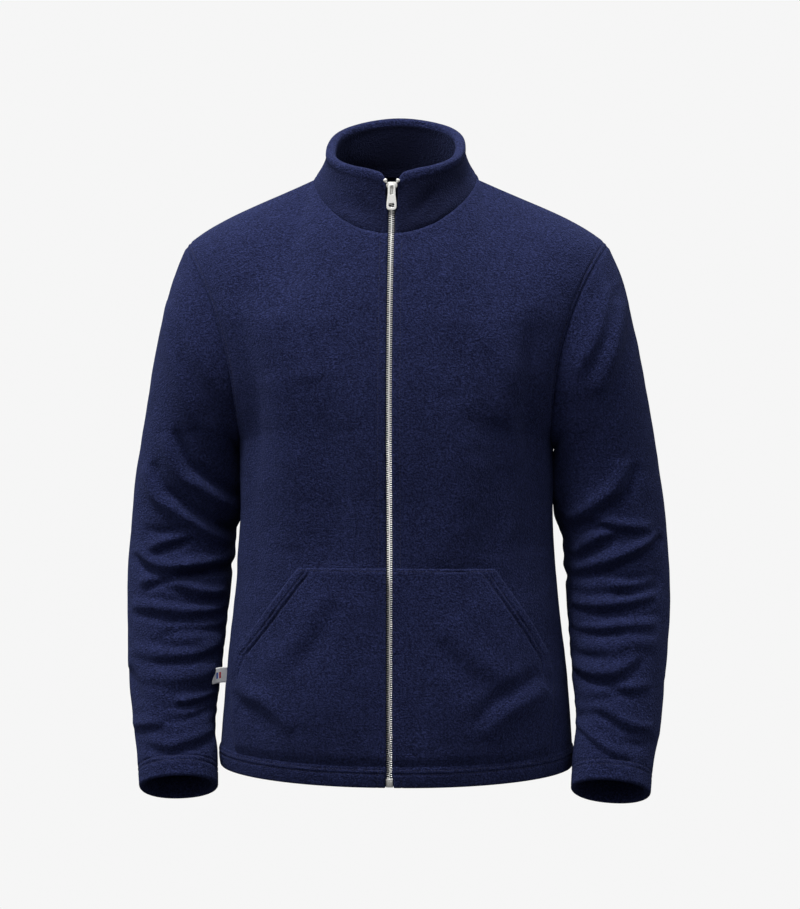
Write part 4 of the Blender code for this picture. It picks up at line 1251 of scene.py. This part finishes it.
PULL_CAGE = [  # below the hinge's axis: height, half-width, half-width of the opening, open below
    (0.0009, 0.0030, 0.0015, False),
    (0.0004, 0.0041, 0.0017, False),
    (-0.0010, 0.0042, 0.0017, True),
    (-0.0040, 0.0042, 0.0017, True),
    (-0.0085, 0.0044, 0.0017, True),
    (-0.0105, 0.0045, 0.0017, False),
    (-0.0125, 0.0046, 0.0018, False),
    (-0.0188, 0.0054, 0.0022, False),
    (-0.0204, 0.0056, 0.0027, True),
    (-0.0226, 0.0057, 0.0032, True),
    (-0.0248, 0.0056, 0.0027, False),
    (-0.0264, 0.0053, 0.0024, False),
    (-0.0280, 0.0036, 0.0018, False),
]


def build_pull():
    """The flat tab: a slot for the bail at its top and a rounded hole near its lower end."""
    hinge = zip_place(SLIDER_Z) @ Matrix.Translation((0.0, -HINGE_PROUD, HINGE_RISE))
    place = hinge @ Matrix.Rotation(math.radians(-PULL_LEAN), 4, "X")
    rows = len(PULL_CAGE)
    bm = bmesh.new()
    bmesh.ops.create_grid(bm, x_segments=3, y_segments=rows - 1, size=0.5)
    holes = []
    for face in bm.faces:
        middle = face.calc_center_median()
        row = int((0.5 - middle.y) * (rows - 1))
        if abs(middle.x) < 0.1 and PULL_CAGE[row][3]:
            holes.append(face)
    for vertex in bm.verts:
        depth, wide, narrow, _ = PULL_CAGE[round((0.5 - vertex.co.y) * (rows - 1))]
        half = wide if abs(vertex.co.x) > 0.3 else narrow
        vertex.co = (math.copysign(half, vertex.co.x), -PULL_WALL / 2, depth)
    bmesh.ops.delete(bm, geom=holes, context="FACES_ONLY")
    bmesh.ops.recalc_face_normals(bm, faces=bm.faces)
    drawn = bmesh.ops.extrude_face_region(bm, geom=list(bm.faces))["geom"]
    moved = [item for item in drawn if isinstance(item, bmesh.types.BMVert)]
    bmesh.ops.translate(bm, verts=moved, vec=(0, PULL_WALL, 0))
    bmesh.ops.recalc_face_normals(bm, faces=bm.faces)
    rims = [e for e in bm.edges if len(e.link_faces) == 2 and e.calc_face_angle() > 1.2]
    rounded_edges(bm, 0.00018, 1, rims)
    bmesh.ops.transform(bm, matrix=place, verts=bm.verts)
    piece = finish_piece("zip_pull_tab", bm, METAL, ["zip_pull"], body="pull", smooth=35)
    softened = piece.modifiers.new("rounding", "SUBSURF")
    softened.levels = softened.render_levels = 2


STOP_SPLAY = 24  # degrees, away from the zip at the top


def build_zip_ends():
    """The two top stops, pinched and splayed, and the retaining box at the foot of the zip."""
    for side, hand in SIDES:
        bm = bmesh.new()
        add_block(bm, (0.0028, 0.0032, 0.0048), (0, 0, 0))
        add_block(bm, (0.0042, 0.0036, 0.0030), (0, 0, 0.0006))
        rounded_edges(bm, 0.0008, 3)
        splay = Matrix.Rotation(math.radians(side * STOP_SPLAY), 4, "Y")
        splay = Matrix.Translation((side * STOP_X, -0.0020, STOP_RISE)) @ splay
        bmesh.ops.transform(bm, matrix=zip_place(STOP_Z) @ splay, verts=bm.verts)
        finish_piece(f"zip_stop_{hand}_metal", bm, METAL, [f"zip_stop_{hand}"], smooth=35)
    bm = bmesh.new()
    wide, deep, tall = BOX_SIZE
    add_block(bm, (wide, deep, tall), (0, 0.0013, 0))
    rounded_edges(bm, 0.0009, 3)
    inset = bmesh.new()
    add_block(inset, (0.0007, 0.0009, tall * 0.78), (-0.0006, 0.0013 - deep / 2 + 0.0002, 0.0002))
    add_block(inset, (0.0020, 0.0007, tall * 0.56), (0.0022, 0.0013 - deep / 2 + 0.0002, 0.0))
    rounded_edges(inset, 0.00025, 2)
    take_in(bm, inset)
    bmesh.ops.transform(bm, matrix=zip_place(BOX_Z), verts=bm.verts)
    finish_piece("zip_box_metal", bm, METAL, ["zip_box"], smooth=35)


def build_label():
    """A folded tab: out from the seam, round its fold and back, a little bowed."""
    length, _, height = LABEL_SIZE
    gap, steps = 0.00042, 40
    bm = bmesh.new()
    bmesh.ops.create_grid(bm, x_segments=steps, y_segments=14, size=0.5)
    layout = bm.loops.layers.uv.new("cut")
    for vertex in bm.verts:
        share, up = vertex.co.x + 0.5, vertex.co.y
        for loop in vertex.link_loops:
            loop[layout].uv = (share, up + 0.5)
        path = share * (2 * length + math.pi * gap)
        if path < length:
            x, y = path, -gap
        elif path < length + math.pi * gap:
            turn = (path - length) / gap
            x, y = length + gap * math.sin(turn), -gap * math.cos(turn)
        else:
            x, y = 2 * length + math.pi * gap - path, gap
        bow = 0.0005 * math.sin(math.pi * x / length) * (0.6 + 0.8 * up)
        vertex.co = (x, y + bow, up * height + 0.0006 * math.sin(4 * x / length))
    turn = Matrix.Rotation(math.radians(LABEL_HEADING), 4, "Z")
    bmesh.ops.transform(bm, matrix=Matrix.Translation(LABEL_FROM) @ turn, verts=bm.verts)
    piece = finish_piece("side_label_cloth", bm, LABEL, ["side_label"])
    wall = piece.modifiers.new("satin", "SOLIDIFY")
    wall.thickness, wall.offset = 0.0003, 0.0


def build_tapes():
    for _, hand in SIDES:
        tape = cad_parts[f"zip_tape_{hand}"]
        for slot in tape.material_slots:
            slot.material = TAPE


# ---------------------------------------------------------------- camera, floor and light


def look_from(obj, target):
    obj.rotation_euler = (Vector(target) - obj.location).to_track_quat("-Z", "Y").to_euler()


def add_light(name, location, target, size, power, colour=(1, 1, 1)):
    lamp = bpy.data.lights.new(name, "AREA")
    lamp.shape, lamp.size, lamp.energy, lamp.color = "DISK", size, power, colour
    light = bpy.data.objects.new(name, lamp)
    bpy.context.scene.collection.objects.link(light)
    light.location = location
    look_from(light, target)
    light.visible_camera = False


def plain_light(name, colour, strength=1.0):
    finish = Finish(name, Base_Color=rgb(0, 0, 0), Specular_IOR_Level=0.0)
    finish.set("Emission Color", rgb(*colour))
    finish.set("Emission Strength", strength)
    return finish.material


ROOM_LIGHT = [(0.0, 0.04), (0.42, 0.11), (0.55, 0.27), (0.80, 0.90), (1.0, 1.5)]  # from straight down to up


def light_room(tree, pale):
    """A pale room that lights the jacket softly, more from above than from below."""
    seen = tree.nodes["Background"]
    seen.inputs["Color"].default_value = rgb(*pale)
    where = tree.nodes.new("ShaderNodeTexCoord")
    split = tree.nodes.new("ShaderNodeSeparateXYZ")
    share = tree.nodes.new("ShaderNodeMapRange")
    ramp = tree.nodes.new("ShaderNodeValToRGB")
    kinds = ("Background", "MixShader", "LightPath")
    lit, mixed, path = (tree.nodes.new("ShaderNode" + kind) for kind in kinds)
    share.inputs["From Min"].default_value = -1.0
    for i, (place, light) in enumerate(ROOM_LIGHT):
        stop = ramp.color_ramp.elements[i] if i < 2 else ramp.color_ramp.elements.new(place)
        stop.position, stop.color = place, rgb(light, light, light)
    for start, end in (
        (where.outputs["Generated"], split.inputs[0]),
        (split.outputs["Z"], share.inputs["Value"]),
        (share.outputs["Result"], ramp.inputs[0]),
        (ramp.outputs["Color"], lit.inputs["Color"]),
        (path.outputs["Is Camera Ray"], mixed.inputs[0]),
        (lit.outputs[0], mixed.inputs[1]),
        (seen.outputs[0], mixed.inputs[2]),
        (mixed.outputs[0], tree.nodes["World Output"].inputs["Surface"]),
    ):
        tree.links.new(start, end)


def set_stage():
    scene = bpy.context.scene
    scene.view_settings.view_transform = "Standard"
    pale = (0.92, 0.92, 0.92)
    scene.world = bpy.data.worlds.new("pale_room")
    scene.world.use_nodes = True
    light_room(scene.world.node_tree, pale)

    bm = bmesh.new()
    bmesh.ops.create_circle(bm, cap_ends=True, segments=96, radius=2.2)
    bmesh.ops.translate(bm, vec=(0, 0, -1.45), verts=bm.verts)
    mesh = bpy.data.meshes.new("floor")
    bm.to_mesh(mesh)
    bm.free()
    mesh.materials.append(plain_light("pale_floor", pale))
    floor = bpy.data.objects.new("floor", mesh)
    scene.collection.objects.link(floor)
    floor.visible_diffuse = floor.visible_glossy = floor.visible_shadow = False

    add_light("overhead", (-0.7, -1.0, 2.6), (0, -0.05, -0.15), 0.8, 104)
    add_light("front_fill", (-2.4, -2.8, 0.9), (0, 0, -0.3), 1.2, 15)

    camera = bpy.data.objects.new("camera", bpy.data.cameras.new("camera"))
    scene.collection.objects.link(camera)
    camera.location = (0.19406, -3.10636, -0.15574)
    camera.data.lens = 105.84
    look_from(camera, (0.00507, -0.01639, -0.31798))
    scene.camera = camera


set_stage()
build_fronts()
build_back()
build_sleeves()
build_pockets()
build_collar()
build_teeth()
build_beads()
build_slider()
build_pull()
build_zip_ends()
build_tapes()
build_label()
